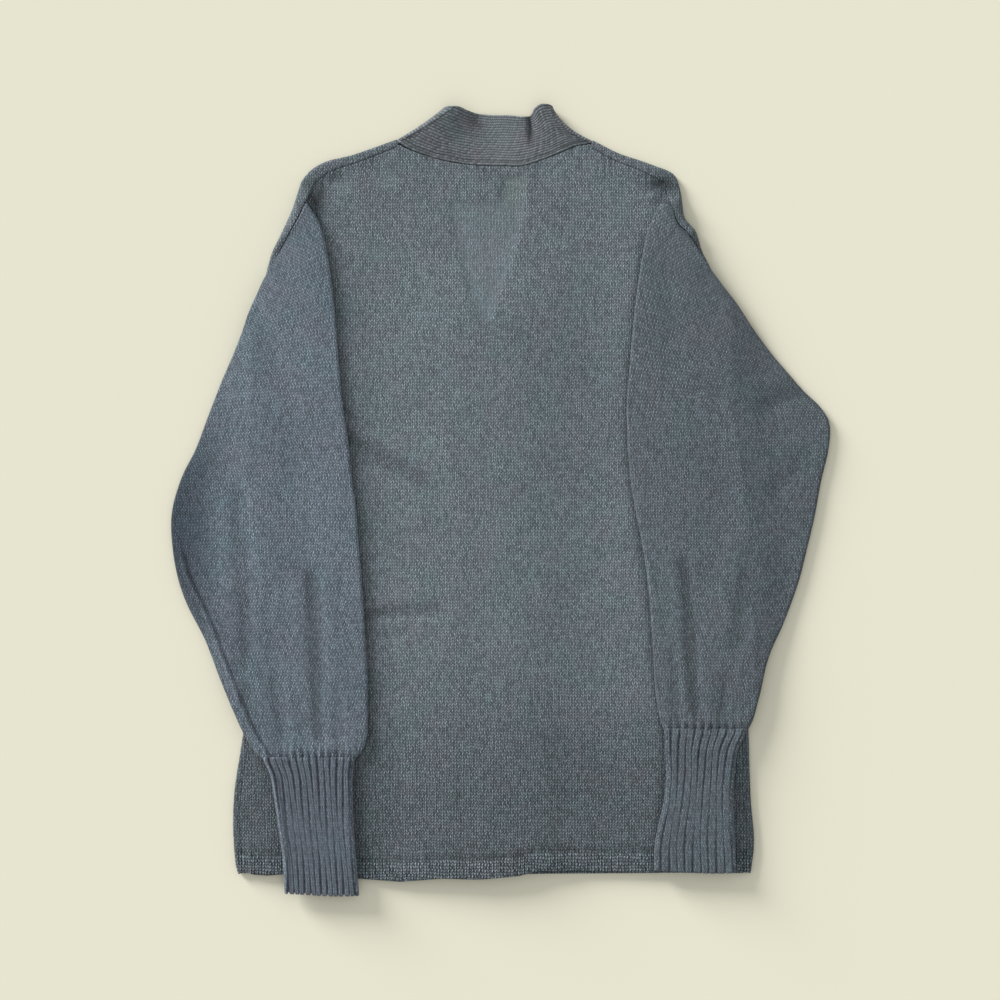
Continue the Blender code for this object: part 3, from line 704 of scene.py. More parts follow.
def front_band(hand):
    """Band from the hem to the neck fold, between its seam and its free edge."""
    share, thin_rows = with_rims(BAND_LENGTH, 4.0)
    across, thin_cols = with_rims(BAND_WIDTH, 2.5)
    a, b = flow(BAND_SEAMS[hand], share), flow(BAND_EDGES[hand], share)
    plan = a[:, None] * (1 - across[None, :, None]) + b[:, None] * across[None, :, None]
    x, y = plan[..., 0], plan[..., 1]
    floor = (button_lift if hand == "left" else right_floor)(x, y) + HALF
    thin = HALF * thin_rows[:, None] * thin_cols[None, :]
    return cloth(f"{hand}_front_band", stack(x, y, floor - thin), stack(x, y, floor + thin),
                 across[None, :] * BAND_WIDTH, share[:, None] * BAND_LENGTH)


bands = {hand: front_band(hand) for hand in ("left", "right")}
print("front band faces", [len(p.data.polygons) for p in bands.values()])

# %% Neck band tables and rolls
BAND_TOP = [(-41.8, 373.4), (-38.5, 372.8), (-31.6, 369.8), (-21.4, 367.1),
            (-12.8, 366), (9, 365.5), (24.5, 364.6), (28, 365.3), (30, 367.5), (31.2, 370.2),
            (34.6, 373.8), (38.5, 375.6)]
FOLDS = {"left": {"neck": (-99, 342), "bump": (-49, 376), "out": (-0.562, 0.827), "sag": 1.2,
                  "end": (-6.0, 4.5)},
         "right": {"neck": (88, 341), "bump": (44, 379), "out": (0.642, 0.767), "sag": 5.0,
                   "end": (-7.0, 2.0)}}
ROLL_AT_TOP = 5.0
BAND_RETURN = 8.0
SEAM_RIDGE = 3.4              # from the neck seam to the row of stitches beside it
SEAM_OFFSET = 2.65            # the first row starts this far inside the fold
NECK_ROWS = 110


def fold_rows(hand, share, thin):
    """Rows round one roll of the neck band, from its lower end to its top.

    The roll's end is cut back at its side and drawn out at its top, so the bump looks
    round from above.
    """
    fold = FOLDS[hand]
    neck, bump, out = (np.array(fold[k], dtype=float) for k in ("neck", "bump", "out"))
    way = (bump - neck) / np.linalg.norm(bump - neck)
    radius = EDGE_ROLL + (ROLL_AT_TOP - EDGE_ROLL) * share
    line = neck * (1 - share[:, None]) + bump * share[:, None]
    line = line - out * (fold["sag"] * np.sin(math.pi * share))[:, None]
    centre = line - out * (radius + HALF)[:, None]
    half = HALF * thin
    outer, inner = [], []
    for back_by, wall in ((1.0, 0.3), (0.95, 0.8), (0.6, 1.0), (0.3, 1.0)):
        place = centre - out * BAND_RETURN * back_by
        add_pair(outer, inner, place, HALF, -half * wall)
    for angle in np.radians(np.linspace(-90.0, 90.0, 19)):
        turned = max(angle, 0.0) / (math.pi / 2)
        drawn = (fold["end"][0] * (1.0 - turned) + fold["end"][1] * turned) * share**5
        for side, grid in ((half, outer), (-half, inner)):
            edge = centre + out * ((radius + side) * math.cos(angle))[:, None] + way * drawn[:, None]
            grid.append(stack(edge[:, 0], edge[:, 1],
                              HALF + radius + (radius + side) * math.sin(angle)))
    return outer, inner


print("rolls rise to", 2 * ROLL_AT_TOP + WALL, "mm")

# %% Neck band


def neck_band():
    """Rows up one roll, along the neck and down the other, each across the band."""
    share, thin = with_rims(BAND_WIDTH, 1.3)
    seam = flow(NECK_SEAM, np.linspace(0.0, 1.0, NECK_ROWS + 2))[1:-1] + np.array([0.0, SEAM + 0.1])
    top = flow(BAND_TOP, np.linspace(0.0, 1.0, NECK_ROWS))
    first, last = (np.array(fold["neck"]) - np.array(fold["out"]) * SEAM_OFFSET
                   for fold in (FOLDS["left"], FOLDS["right"]))
    ease = np.linspace(0.0, 1.0, NECK_ROWS)[:, None]
    seam += (first - seam[0]) * bell(ease, 0.05) + (last - seam[-1]) * bell(1 - ease, 0.05)
    line = seam[:, None] * (1 - share[None, :, None]) + top[:, None] * share[None, :, None]
    for fold, near in ((FOLDS["left"], bell(ease, 0.08)), (FOLDS["right"], bell(1 - ease, 0.08))):
        inset = fold["sag"] * np.sin(math.pi * share)[None, :] * near
        line = line - inset[..., None] * np.array(fold["out"])
    bump = np.maximum(smooth((-17.0 - top[:, :1]) / 24.0), smooth((top[:, :1] - 25.0) / 14.0))
    x, y = line[..., 0], line[..., 1]
    s = share[None, :]
    floor = LAYER + (2 * ROLL_AT_TOP - LAYER) * bump * s
    crease = bell(x - 28.0 - 0.06 * (365.0 - y), 3.0) * smooth((s - 0.15) / 0.6)
    slope = bell(x + 24.0 - 0.2 * (365.0 - y), 6.0) * smooth((s - 0.4) / 0.4)
    pucker = gathers(seam[:, :1], s * BAND_WIDTH, 7.0, 5.0, 0.3, 3.0)
    middle = floor + HALF - 3.0 * crease - 0.8 * slope
    half = HALF * thin[None, :]
    ridge = 0.35 * bell(s * BAND_WIDTH - 1.4, 1.0) - 0.6 * bell(s * BAND_WIDTH - SEAM_RIDGE, 0.8)
    relief = (pucker + ridge) * thin[None, :]
    mid_outer = stack(x, y, middle + half + relief)
    mid_inner = stack(x, y, middle - half)
    lo, li = fold_rows("left", share, thin)
    ro, ri = fold_rows("right", share, thin)
    outer = np.concatenate([np.array(lo), mid_outer, np.array(ro)[::-1]])
    inner = np.concatenate([np.array(li), mid_inner, np.array(ri)[::-1]])
    length = run_of(outer[:, len(share) // 2])[:, None]
    dark = np.zeros(outer.shape[:2])
    # Painted shade in the crease near the right roll and on the slope near the left one, and a dark line
    # along the row of stitches beside the seam.
    dark[len(lo):len(lo) + NECK_ROWS] = 0.5 * crease + 0.16 * slope
    dark += 0.42 * bell(s * BAND_WIDTH - SEAM_RIDGE, 0.8)
    flat = bell(outer[..., 0] - 2.0, 24.0)
    shade = np.concatenate([tint(dark, (0.0, 0.0, 0.0)), 0.78 - 0.36 * flat[..., None]], axis=-1)
    return cloth("neck_band_knit", outer, inner, s * BAND_WIDTH, length, shade=shade)


collar = neck_band()
print("neck band faces", len(collar.data.polygons))

# %% [markdown]
# ## Sleeves
#
# A sleeve is one tube, flattened and folded in over the back.  Each ring runs
# along the lower layer, round the outer fold, back along the upper layer and
# round the inner fold.  The first ring follows the armhole seam, and the last
# one blouses a little over the cuff.

# %% Sleeve tables
SLEEVES = {
    "left": [(-170, 258, -224, 211), (-164, 232, -231, 196), (-160, 205, -240, 176),
             (-157, 177, -248, 153), (-153, 125, -264, 115), (-149, 85, -279, 77),
             (-145, 60, -290, 48), (-141, 22, -303, 22), (-137, -8, -312, -8),
             (-135, -35, -313, -35), (-132, -70, -308, -70), (-130, -100, -298, -100),
             (-128, -135, -280, -135), (-126, -170, -266, -172), (-126, -200, -254, -200),
             (-126, -220, -244, -222), (-130, -236, -235, -237), (-137, -245, -227, -246)],
    "right": [(152, 280, 203, 214), (142, 262, 212, 202), (136, 240, 226, 184),
              (132, 215, 240, 163), (128, 185, 256, 141), (125, 155, 272, 122),
              (122, 120, 288, 104), (120, 90, 304, 88), (120, 70, 313, 72), (121, 45, 312, 48),
              (124, 15, 305, 18), (129, -15, 299, -15), (135, -45, 292, -45),
              (140, -80, 283, -80), (143, -115, 270, -115), (145, -150, 255, -150),
              (147, -180, 247, -182), (151, -205, 240, -208), (155, -219, 235, -218)],
}
SLEEVE_CREASES = {"left": LEFT_CREASES, "right": RIGHT_CREASES}
UNDERARM_SEAM = [(-246, -219), (-217, -237), (-182, -251.5), (-145, -266.5), (-122, -274.5),
                 (-101, -284.5), (-74, -297.5), (-40, -307)]
FOLD_RUN = 8.0
CUFFS = {"left": [(-246, -138, -226), (-260, -140, -219), (-282, -140, -215), (-311, -139, -211),
                  (-338, -137, -207), (-374, -134, -205)],
         "right": [(-219, 155.5, 234), (-235, 156, 226), (-260, 157, 222), (-290, 154, 221),
                   (-311, 149, 222), (-330, 146, 223), (-353, 146, 224)]}
# The right cuff is painted darker, the left one a little bluer.
CUFF_TINTS = {"left": (0.96, 0.97, 1.02), "right": (0.84, 0.85, 0.86)}
RIBS = {"left": 26, "right": 20}
RIB_HEIGHT = 1.0
POINTS_PER_RIB = 14
STITCHES_PER_RIB = 3
RIB_WALE = 2.6                # width of one stitch of the ribs
RIB_EDGE = {"left": 0.5, "right": 0.36}
CAST_ON_WAVE = {"left": 2.2, "right": 0.7}
# Painted shade in the valleys between the ribs.
RIB_DARK = {"left": (0.37, 0.37, 0.39), "right": (0.46, 0.46, 0.48)}
# Per sleeve, a base tint and a tint for its outer side: the left sleeve is bluer and painted lighter, the
# right one painted darker.
SLEEVE_TINTS = {"left": ((1.03, 1.05, 1.12), (0.33, 0.36, 0.39)),
                "right": ((0.78, 0.79, 0.80), (0.92, 0.92, 0.92))}
PUFF = 1.6                    # how far a sleeve's upper layer swells
SLEEVE_ROWS = 150
SLEEVE_RIM = [0.0, 0.01, 0.03, 0.07]  # rows that round the ends of the tube
SLEEVE_COLUMNS = 112
SEAM_POINTS = 40
print("sleeve sections", {hand: len(table) for hand, table in SLEEVES.items()})

# %% Sleeve helpers


def rib_phase(hand, x):
    """Rib number at a place on the upper side of the cuff's top ring, crests at one half."""
    _, inner_x, outer_x = CUFFS[hand][0]
    half = abs(outer_x - inner_x) / 2 - EDGE_ROLL - HALF - RIB_HEIGHT
    run = 4 * half + 2 * math.pi * EDGE_ROLL
    return (3 * half + math.pi * EDGE_ROLL - (x - (outer_x + inner_x) / 2)) / run * RIBS[hand]


def underarm(x, y):
    """Distance from the underarm seam, which shows along the left sleeve's outer edge."""
    return (x - read(UNDERARM_SEAM, y)) * 0.88


def sleeve_ridges(x, y, hand):
    """Raised lines on a sleeve: the underarm seam at the left, a mended spot at the right."""
    if hand == "right":
        return 0.7 * bell(np.hypot(x - 287.0, (y + 17.0) / 1.8), 3.0)
    away = underarm(x, y)
    rope = 1.0 + 0.25 * np.sin(y * 1.7)
    return (0.9 * rope * bell(away, 1.6) - 0.6 * bell(away - 3.4, 1.4)) * smooth((-36.0 - y) / 20.0)


def turn(centre, out, low, high, thin, start, end):
    """Rows of points round the fold at one edge of a flat tube."""
    radius, mid = ((high - low) / 2)[:, None], ((high + low) / 2)[:, None]
    angle = np.radians(np.linspace(start, end, 9))[None, 1:-1]
    grids = []
    for half in (HALF, -HALF):
        r = radius + half * thin[:, None]
        place = centre[:, None] + out[:, None] * (r * np.cos(angle))[..., None]
        grids.append(stack(place[..., 0], place[..., 1], mid + r * np.sin(angle)))
    return grids


def sleeve_tone(x, y, hand):
    """Left sleeve bluer and painted lighter, its outer side darker; right sleeve painted a little darker;
    painted shade in creases, towards the bottom and along the right inner fold.
    """
    outer_x = np.interp(y, *np.array(SLEEVES[hand], dtype=float)[::-1, [3, 2]].T)
    base, edge = SLEEVE_TINTS[hand]
    tone = tint(np.ones_like(x), base)
    tone = tone * tint(bell(x - outer_x, 45.0) * bell(y + 28.0, 110.0), edge)
    dent = np.clip(creases(x, y, SLEEVE_CREASES[hand]), 0, 1)
    # Painted shade in the creases and towards the bottom of the sleeve.
    marks = [(dent, 0.76), (smooth((-60.0 - y) / 170.0), 0.91)]
    if hand == "left":
        marks.append((bell(underarm(x, y) - 3.2, 1.5) * smooth((-36.0 - y) / 20.0), 0.55))
    else:
        marks.append((bell(np.hypot(x - 287.0, (y + 19.0) / 1.6), 3.4), 0.72))
        # Painted shade along the right sleeve's inner fold.
        marks.append((bell(x - read(RIGHT_INNER, y), 1.6), 0.75))
    return darken(tone, *marks)


print("underarm seam is", round(float(underarm(-217.0, -200.0)), 1), "mm from a place on the sleeve")

# %% Sleeves


def sleeve(hand):
    """Flattened tube through the sections, with its creases and its gathers."""
    armhole = seam_line(hand, 1.0 + np.linspace(5 / 6, 1 / 3, SEAM_POINTS), 0.8)
    sections = np.array([(*armhole[0], *armhole[-1]), *SLEEVES[hand]], dtype=float)
    last = len(sections) - 1
    near = np.array(SLEEVE_RIM)
    k = np.concatenate([near, np.linspace(0.12, last - 0.12, SLEEVE_ROWS), last - near[::-1]])
    table = hermite(sections, np.arange(last + 1.0), k)
    from_end = np.clip(np.minimum(k, last - k) / SLEEVE_RIM[-1], 0.0, 1.0)
    thin = quarter_circle(from_end)[:, None]
    a, b = table[:, None, :2], table[:, None, 2:]
    length = np.linalg.norm(b - a, axis=-1)
    u = (b - a) / length[..., None]
    rolls = []
    for edge in (a, b):
        low, high = sleeve_heights(edge[..., 0], edge[..., 1], hand)
        rolls.append(((high - low) / 2 + HALF)[..., None])
    even = np.linspace(0.0, 1.0, SLEEVE_COLUMNS)
    c = (0.7 * even + 0.15 * (1.0 - np.cos(math.pi * even)))[None, :]
    plan = (a + u * rolls[0]) * (1 - c[..., None]) + (b - u * rolls[1]) * c[..., None]
    marks = np.linspace(0, 1, SEAM_POINTS)
    seam_at = np.stack([np.interp(c[0], marks, armhole[:, n]) for n in range(2)], 1)
    chord = armhole[0] * (1 - c[0, :, None]) + armhole[-1] * c[0, :, None]
    plan = plan + (seam_at - chord)[None] * np.maximum(0.0, 1.0 - k / 2.0)[:, None, None]
    x, y = plan[..., 0], plan[..., 1]
    low, high = sleeve_heights(x, y, hand)
    arch = np.sin(math.pi * c)
    swell = PUFF * (0.4 + 0.6 * np.sin(math.pi * np.minimum(1.0, 0.1 + k / (last + 1))))[:, None]
    down = run_of((a + b)[:, 0] / 2)[:, None]
    to_cuff = down[-1] - down
    width = (c - 0.5) * length
    blouse = 1.3 * bell(to_cuff - 8.0, 7.0) * arch**0.3
    pleats = -np.cos(2 * math.pi * rib_phase(hand, x)) * np.exp(-to_cuff / 7.0) * arch**0.5
    top = high + swell * arch**0.8 - creases(x, y, SLEEVE_CREASES[hand]) + blouse + 1.1 * pleats
    top += gathers(width, down, 6.0, 7.0, 0.35, 0.6) * arch**0.5 + sleeve_ridges(x, y, hand)
    top = np.maximum(top, low + WALL + 0.15)
    half = HALF * thin
    turns = [turn(plan[:, -1], u[:, 0], low[:, -1], top[:, -1], thin[:, 0], -90.0, 90.0),
             turn(plan[:, 0], -u[:, 0], low[:, 0], top[:, 0], thin[:, 0], 90.0, -90.0)]
    outer, inner = (
        np.concatenate([stack(x, y, low - side * half), turns[0][n],
                        stack(x, y, top + side * half)[:, ::-1], turns[1][n]], axis=1)
        for n, side in enumerate((1.0, -1.0)))
    edge = np.linspace(0.0, 1.0, turns[0][0].shape[1] + 2)[None, 1:-1]
    ring = [1.5 * length + FOLD_RUN - c * length, 0.5 * length + FOLD_RUN * (1.0 - edge),
            (c[:, ::-1] - 0.5) * length, -0.5 * length - FOLD_RUN * edge,
            -0.5 * length - FOLD_RUN]
    across = np.concatenate(ring, axis=1)
    seam_marks = 0.5 * bell(down - 3.2, 0.9) + 0.5 * bell(to_cuff - 0.6, 1.6)
    shade = sleeve_tone(outer[..., 0], outer[..., 1], hand)
    shade = shade * tint(seam_marks, 0.35)
    pleat_trough_shade = np.zeros(outer.shape[:2])
    count = x.shape[1]
    begin = count + turns[0][0].shape[1]
    # Painted shade on the outer fold, and in the troughs of the pleats above the cuff.
    shade[:, count:begin] *= FOLD_SHADE
    pleat_trough_shade[:, begin:begin + count] = np.clip(-pleats, 0.0, 1.0)[:, ::-1]
    shade = shade * tint(pleat_trough_shade, (0.45, 0.45, 0.46))
    return cloth(f"{hand}_sleeve", outer, inner, across, -down, tube=True, shade=shade)


sleeves = {hand: sleeve(hand) for hand in ("left", "right")}
print("sleeve faces", [len(p.data.polygons) for p in sleeves.values()])

# %% [markdown]
# ## Cuffs
#
# The cuffs are knitted in ribs, which stand 1 mm proud and draw the cloth in.
# A ring is a stadium, two straight runs and two half circles, and the outer
# points rise and fall round it.  The lower edge is the cast-on edge, which
# waves a little from rib to rib.

# %% Cuffs


def stadium(s, half, radius):
    """Place and way out at a length s round a stadium, from its lower left."""
    turn_run = math.pi * radius
    first, second, third = 2 * half, 2 * half + turn_run, 4 * half + turn_run
    a = (s - first) / radius - math.pi / 2
    b = (s - third) / radius + math.pi / 2
    cases = [s < first, s < second, s < third]
    x = np.select(cases, [s - half, half + radius * np.cos(a), half - (s - second)],
                  -half + radius * np.cos(b))
    nx = np.select(cases, [0.0, np.cos(a), 0.0], np.cos(b))
    nz = np.select(cases, [-1.0, np.sin(a), 1.0], np.sin(b))
    z = radius * nz
    return x, z, nx, nz


def cuff(hand):
    """Ribbed tube: outer reach is half the wall and a rounded rib."""
    table = np.array(CUFFS[hand], dtype=float)
    length = table[0, 0] - table[-1, 0]
    share, thin = with_rims(length, 2.6)
    thin = thin[:, None]
    yk, xi, xo = (flow(table, share)[:, n:n + 1] for n in range(3))
    count = RIBS[hand] * POINTS_PER_RIB
    number = np.arange(count)[None, :]
    half = np.abs(xo - xi) / 2 - EDGE_ROLL - HALF - RIB_HEIGHT
    s = number / count * (4 * half + 2 * math.pi * EDGE_ROLL)
    x, z, nx, nz = stadium(s, half, EDGE_ROLL)
    phase = (number / POINTS_PER_RIB) % 1.0
    rib = smooth((1.0 - np.abs(phase - 0.5) * 2.0) / RIB_EDGE[hand])
    rib = rib - 0.12 * bell(phase - 0.5, 0.07)
    down = table[0, 0] - yk
    opened = bell(down - 0.58 * length, 0.26 * length)
    which = number // POINTS_PER_RIB
    own = 0.5 + 0.5 * np.sin(which * 2.4 + down / 26.0)
    drawn = 1.0 - opened * (0.45 + 0.35 * own)
    reach = (HALF + RIB_HEIGHT * (1.0 - drawn * (1.0 - rib))) * thin
    mid = (xo + xi) / 2
    high = OVER_BODY + RIB_HEIGHT + HALF + EDGE_ROLL
    end = smooth((down - length + 10.0) / 10.0)
    wave = CAST_ON_WAVE[hand] * (rib - 0.5) * end + 1.2 * end * np.sin(x / half * 1.8 + 0.6)
    rise = 2.2 * (1.0 - smooth(down / 3.0))
    sway = 0.6 * np.sin(down / 19.0 + which * 1.9) * nz**2
    outer = stack(mid + x + nx * reach + sway, yk - wave + rise, high + z + nz * reach)
    inner = stack(mid + x - nx * HALF * thin + sway, yk - wave + rise,
                  high + z - nz * HALF * thin)
    across = np.arange(count + 1)[None, :] / POINTS_PER_RIB * STITCHES_PER_RIB * RIB_WALE
    # Painted shade in the valleys between the ribs.
    valley = np.clip(1.0 - rib, 0.0, 1.0) * drawn
    tone = tint(valley, RIB_DARK[hand]) * np.array(CUFF_TINTS[hand])
    if hand == "left":
        seam = bell(outer[..., 0] - xo - 5.5 - 1.5 * np.sin(down / 40.0), 1.1)
        tone = tone * tint(seam * smooth(nz * 2.0), (0.55, 0.55, 0.56))
    else:
        # Painted shade along the right cuff's inner fold.
        tone = tone * tint(bell(outer[..., 0] - xi, 2.6), (0.6, 0.6, 0.61))
    return cloth(f"{hand}_cuff", outer, inner, across, yk, tube=True, shade=tone)


cuffs = {hand: cuff(hand) for hand in ("left", "right")}
print("cuff faces", [len(p.data.polygons) for p in cuffs.values()])

# %% [markdown]
# ## Buttons
#
# Six buttons lie under the outer band and can only be seen from below.
# A button is a turned profile: a rim, a shallow dish and a flat back.  Its
# holes and its thread are left out.

# %% Buttons
BUTTON_SPACING = 85.0
BUTTON_SIDES = 48
BUTTON_Y = [BUTTON_TOP_Y - BUTTON_SPACING * k for k in range(6)]
BUTTON_PROFILE = [(0.01, 2.2), (7.9, 2.2), (8.6, 1.9), (9.0, 1.3), (8.9, 0.6), (8.4, 0.08),
                  (7.6, 0.02), (6.9, 0.1), (6.3, 0.42), (5.4, 0.6), (3.0, 0.62), (0.01, 0.62)]


def button(number, y):
    """Profile turned about its axis, as a grid of angles by profile points."""
    profile = np.array(BUTTON_PROFILE)
    angle = np.linspace(0.0, 2 * math.pi, BUTTON_SIDES + 1)[:-1][:, None]
    r, z = profile[None, :, 0], profile[None, :, 1]
    points = stack(FRONT_X + r * np.cos(angle), y - MIDDLE_Y + r * np.sin(angle), z) * MM
    cols = points.shape[1]
    faces = grid_faces(BUTTON_SIDES, cols, False).tolist()
    wrap = rim_faces(np.arange(cols), (BUTTON_SIDES - 1) * cols).tolist()
    mesh = bpy.data.meshes.new(f"button_turned_{number}")
    mesh.from_pydata(points.reshape(-1, 3).tolist(), [], faces + wrap)
    close_up(mesh, merge=0.03 * MM)
    mesh.shade_smooth()
    return add_object(f"button_turned_{number}", mesh)


buttons = [button(number + 1, y) for number, y in enumerate(BUTTON_Y)]
print("buttons", len(buttons))

# %% [markdown]
# ## Knit material
#
# A stockinette stitch is a V: two legs of yarn that meet at the bottom.  Over
# one stitch width let m go from 0 in the middle to 1 at the edge; a leg is
# where the height along the cloth, less a slope times m, is half way between
# two whole numbers.  Sines of both give one rounded leg, with painted shade in
# the dark gaps around it.  Each leg has a tone of its own, and the columns have
# a groove of painted shade between them.  The height drives bump too, so a dark
# gap is also a low place.

# %% Material helpers
Sums = collections.namedtuple("Sums", "add subtract multiply multiply_add fract sine floor power "
                                      "absolute maximum")


def sums_of(tree):
    """The math nodes of a tree as functions: sums.add(a, b) is a node that gives a plus b."""
    return Sums(*(functools.partial(join, tree, name.upper()) for name in Sums._fields))


def join(tree, operation, *values):
    """Math node on sockets or numbers; gives its output."""
    node = tree.nodes.new("ShaderNodeMath")
    node.operation = operation
    for slot, value in enumerate(values):
        set_or_link(tree, node.inputs[slot], value)
    return node.outputs[0]


def set_or_link(tree, socket, value):
    """Puts a number or a colour on a socket, or links another socket to it."""
    if isinstance(value, (int, float)):
        socket.default_value = value
    elif isinstance(value, tuple):
        socket.default_value = (*value, 1.0)
    else:
        tree.links.new(value, socket)


def mix_colour(tree, blend, factor, first, second):
    """Colour mix of two sockets or colours; gives its output."""
    node = tree.nodes.new("ShaderNodeMix")
    node.data_type = "RGBA"
    node.blend_type = blend
    for slot, value in ((0, factor), (6, first), (7, second)):
        set_or_link(tree, node.inputs[slot], value)
    return node.outputs[2]


def soft_noise(tree, place, scale, detail=2.0):
    """Noise texture with a scale per metre; gives its factor, 0 to 1."""
    node = tree.nodes.new("ShaderNodeTexNoise")
    node.inputs["Scale"].default_value = scale
    node.inputs["Detail"].default_value = detail
    tree.links.new(place, node.inputs["Vector"])
    return node.outputs["Fac"]


def v_stitches(sums, u, v, slope):
    """Legs of V stitches; gives their height, 0 to 1, and the number of each leg."""
    m = sums.multiply(sums.absolute(sums.subtract(sums.fract(u), 0.5)), 2.0)
    leg = sums.subtract(v, sums.multiply(m, slope))
    lengthwise = sums.sine(sums.multiply(sums.fract(leg), math.pi))
    crosswise = sums.sine(sums.multiply(m, math.pi))
    height = sums.multiply(sums.power(lengthwise, 0.6), sums.multiply_add(crosswise, 0.75, 0.25))
    return height, sums.floor(sums.multiply(u, 2.0)), sums.floor(leg)


def cords(sums, u, v, slope):
    """Fine cords side by side, a little lower between their stitches."""
    crosswise = sums.sine(sums.multiply(sums.fract(u), math.pi))
    shifted = sums.multiply_add(sums.floor(u), slope, v)
    lengthwise = sums.sine(sums.multiply(sums.fract(shifted), math.pi))
    height = sums.multiply(sums.power(crosswise, 0.8), sums.multiply_add(lengthwise, 0.4, 0.6))
    return height, sums.floor(u), sums.floor(shifted)


def new_material(name, finish):
    """Material with nodes and the plain numbers of its finish; gives it, its tree and its shader."""
    material = bpy.data.materials.new(name)
    material.use_nodes = True
    tree = material.node_tree
    shader = tree.nodes["Principled BSDF"]
    for socket, value in finish.items():
        shader.inputs[socket].default_value = value
    return material, tree, shader


print("material helpers ready")

# %% Knit
WOOL_FINISH = {"Roughness": 0.9, "Specular IOR Level": 0.15, "Sheen Weight": 0.12, "Sheen Roughness": 0.6}
LEG_TONE = 0.62               # how far chance takes a leg's tone from light to dark
PAIR_TONE = 0.6               # legs of odd and even number differ by up to this
RIBBED_GROOVE = 1.7           # how dark a groove gets where the stitches show strongly
BUMP_DEPTH = 0.6              # height of a stitch, in millimetres
WARM, COOL = (1.05, 0.985, 1.0), (0.95, 1.015, 1.0)


def knit(name, yarn, gap, wale=WALE, course=COURSE, slope=0.8, stitches=v_stitches, groove=0.0):
    """Knit of one yarn, with the width and the height of a stitch in millimetres.

    Colour is the mix of yarn and gap by the height of the stitch, times chance by leg,
    fuzz, clouds, the groove (edge squared) and the tone of the piece.  The dark gap
    colour and the groove are painted shade between the legs and between the columns.
    """
    material, tree, shader = new_material(name, WOOL_FINISH)
    sums = sums_of(tree)
    uv = tree.nodes.new("ShaderNodeUVMap")
    uv.uv_map = "cloth"
    place = tree.nodes.new("ShaderNodeTexCoord").outputs["Object"]
    parts = tree.nodes.new("ShaderNodeSeparateXYZ")
    tree.links.new(uv.outputs["UV"], parts.inputs["Vector"])
    tone = tree.nodes.new("ShaderNodeAttribute")
    tone.attribute_name = "tone"
    contrast = tone.outputs["Alpha"]
    fuzz = soft_noise(tree, place, 900.0)
    cloudy = soft_noise(tree, place, 14.0)
    wobble = sums.subtract(soft_noise(tree, place, 60.0, 3.0), 0.5)
    u = sums.multiply_add(parts.outputs["X"], 1 / (wale * MM), sums.multiply(wobble, 1.2))
    v = sums.multiply_add(parts.outputs["Y"], 1 / (course * MM), sums.multiply(wobble, 2.0))
    height, column, row = stitches(sums, u, v, slope)
    stitch = tree.nodes.new("ShaderNodeCombineXYZ")
    tree.links.new(column, stitch.inputs[0])
    tree.links.new(row, stitch.inputs[1])
    chance = tree.nodes.new("ShaderNodeTexWhiteNoise")
    chance.noise_dimensions = "2D"
    tree.links.new(stitch.outputs[0], chance.inputs["Vector"])
    own = sums.multiply(sums.subtract(chance.outputs["Value"], 0.5), LEG_TONE)
    pair = sums.fract(sums.multiply(sums.add(column, row), 0.5))
    own = sums.add(own, sums.multiply_add(pair, PAIR_TONE, -PAIR_TONE / 4))
    shade = sums.multiply(sums.multiply_add(own, contrast, 1.0), sums.multiply_add(fuzz, 0.8, 0.6))
    shade = sums.multiply(shade, sums.multiply_add(cloudy, 0.24, 0.88))
    # Painted shade: the groove between the columns.
    edge = sums.multiply(sums.absolute(sums.subtract(sums.fract(u), 0.5)), 2.0)
    ribbed = sums.maximum(sums.subtract(contrast, 1.0), 0.0)
    ribbed = sums.multiply(sums.multiply_add(ribbed, -RIBBED_GROOVE, -groove), sums.power(edge, 2.0))
    shade = sums.multiply(shade, sums.add(ribbed, 1.0))
    grey = tree.nodes.new("ShaderNodeCombineColor")
    for slot in range(3):
        tree.links.new(shade, grey.inputs[slot])
    warmth = sums.multiply_add(soft_noise(tree, place, 36.0, 3.0), 3.0, -1.0)
    # Painted shade: the gap colour fills the low places between the legs.
    sunk = sums.multiply(sums.subtract(1.0, height), contrast)
    colour = mix_colour(tree, "MIX", sunk, yarn, gap)
    for factor in (grey.outputs[0], tone.outputs["Color"], mix_colour(tree, "MIX", warmth, WARM, COOL)):
        colour = mix_colour(tree, "MULTIPLY", 1.0, colour, factor)
    tree.links.new(colour, shader.inputs["Base Color"])
    bump = tree.nodes.new("ShaderNodeBump")
    bump.inputs["Strength"].default_value = 0.9
    bump.inputs["Distance"].default_value = BUMP_DEPTH * MM
    tree.links.new(sums.multiply_add(fuzz, 0.35, height), bump.inputs["Height"])
    tree.links.new(bump.outputs["Normal"], shader.inputs["Normal"])
    return material


# The second colour of each knit is the painted shade in its gaps.
body_wool = knit("body_wool", (0.258, 0.316, 0.353), (0.022, 0.028, 0.032), groove=0.3)
band_wool = knit("band_wool", (0.170, 0.190, 0.204), (0.022, 0.026, 0.030), wale=2.3, course=2.6,
                 slope=0.5, stitches=cords)
rib_wool = knit("rib_wool", (0.190, 0.232, 0.268), (0.040, 0.050, 0.058), wale=RIB_WALE, course=2.8)
print("knits", [m.name for m in (body_wool, band_wool, rib_wool)])

# %% Horn of the buttons
DARK_HORN, PALE_HORN = (0.02, 0.016, 0.012), (0.085, 0.068, 0.05)
horn, horn_tree, horn_shader = new_material("horn", {"Roughness": 0.32})
horn_place = horn_tree.nodes.new("ShaderNodeTexCoord").outputs["Object"]
horn_grain = soft_noise(horn_tree, horn_place, 160.0, 4.0)
horn_colour = mix_colour(horn_tree, "MIX", horn_grain, DARK_HORN, PALE_HORN)
horn_tree.links.new(horn_colour, horn_shader.inputs["Base Color"])
print("horn ready")

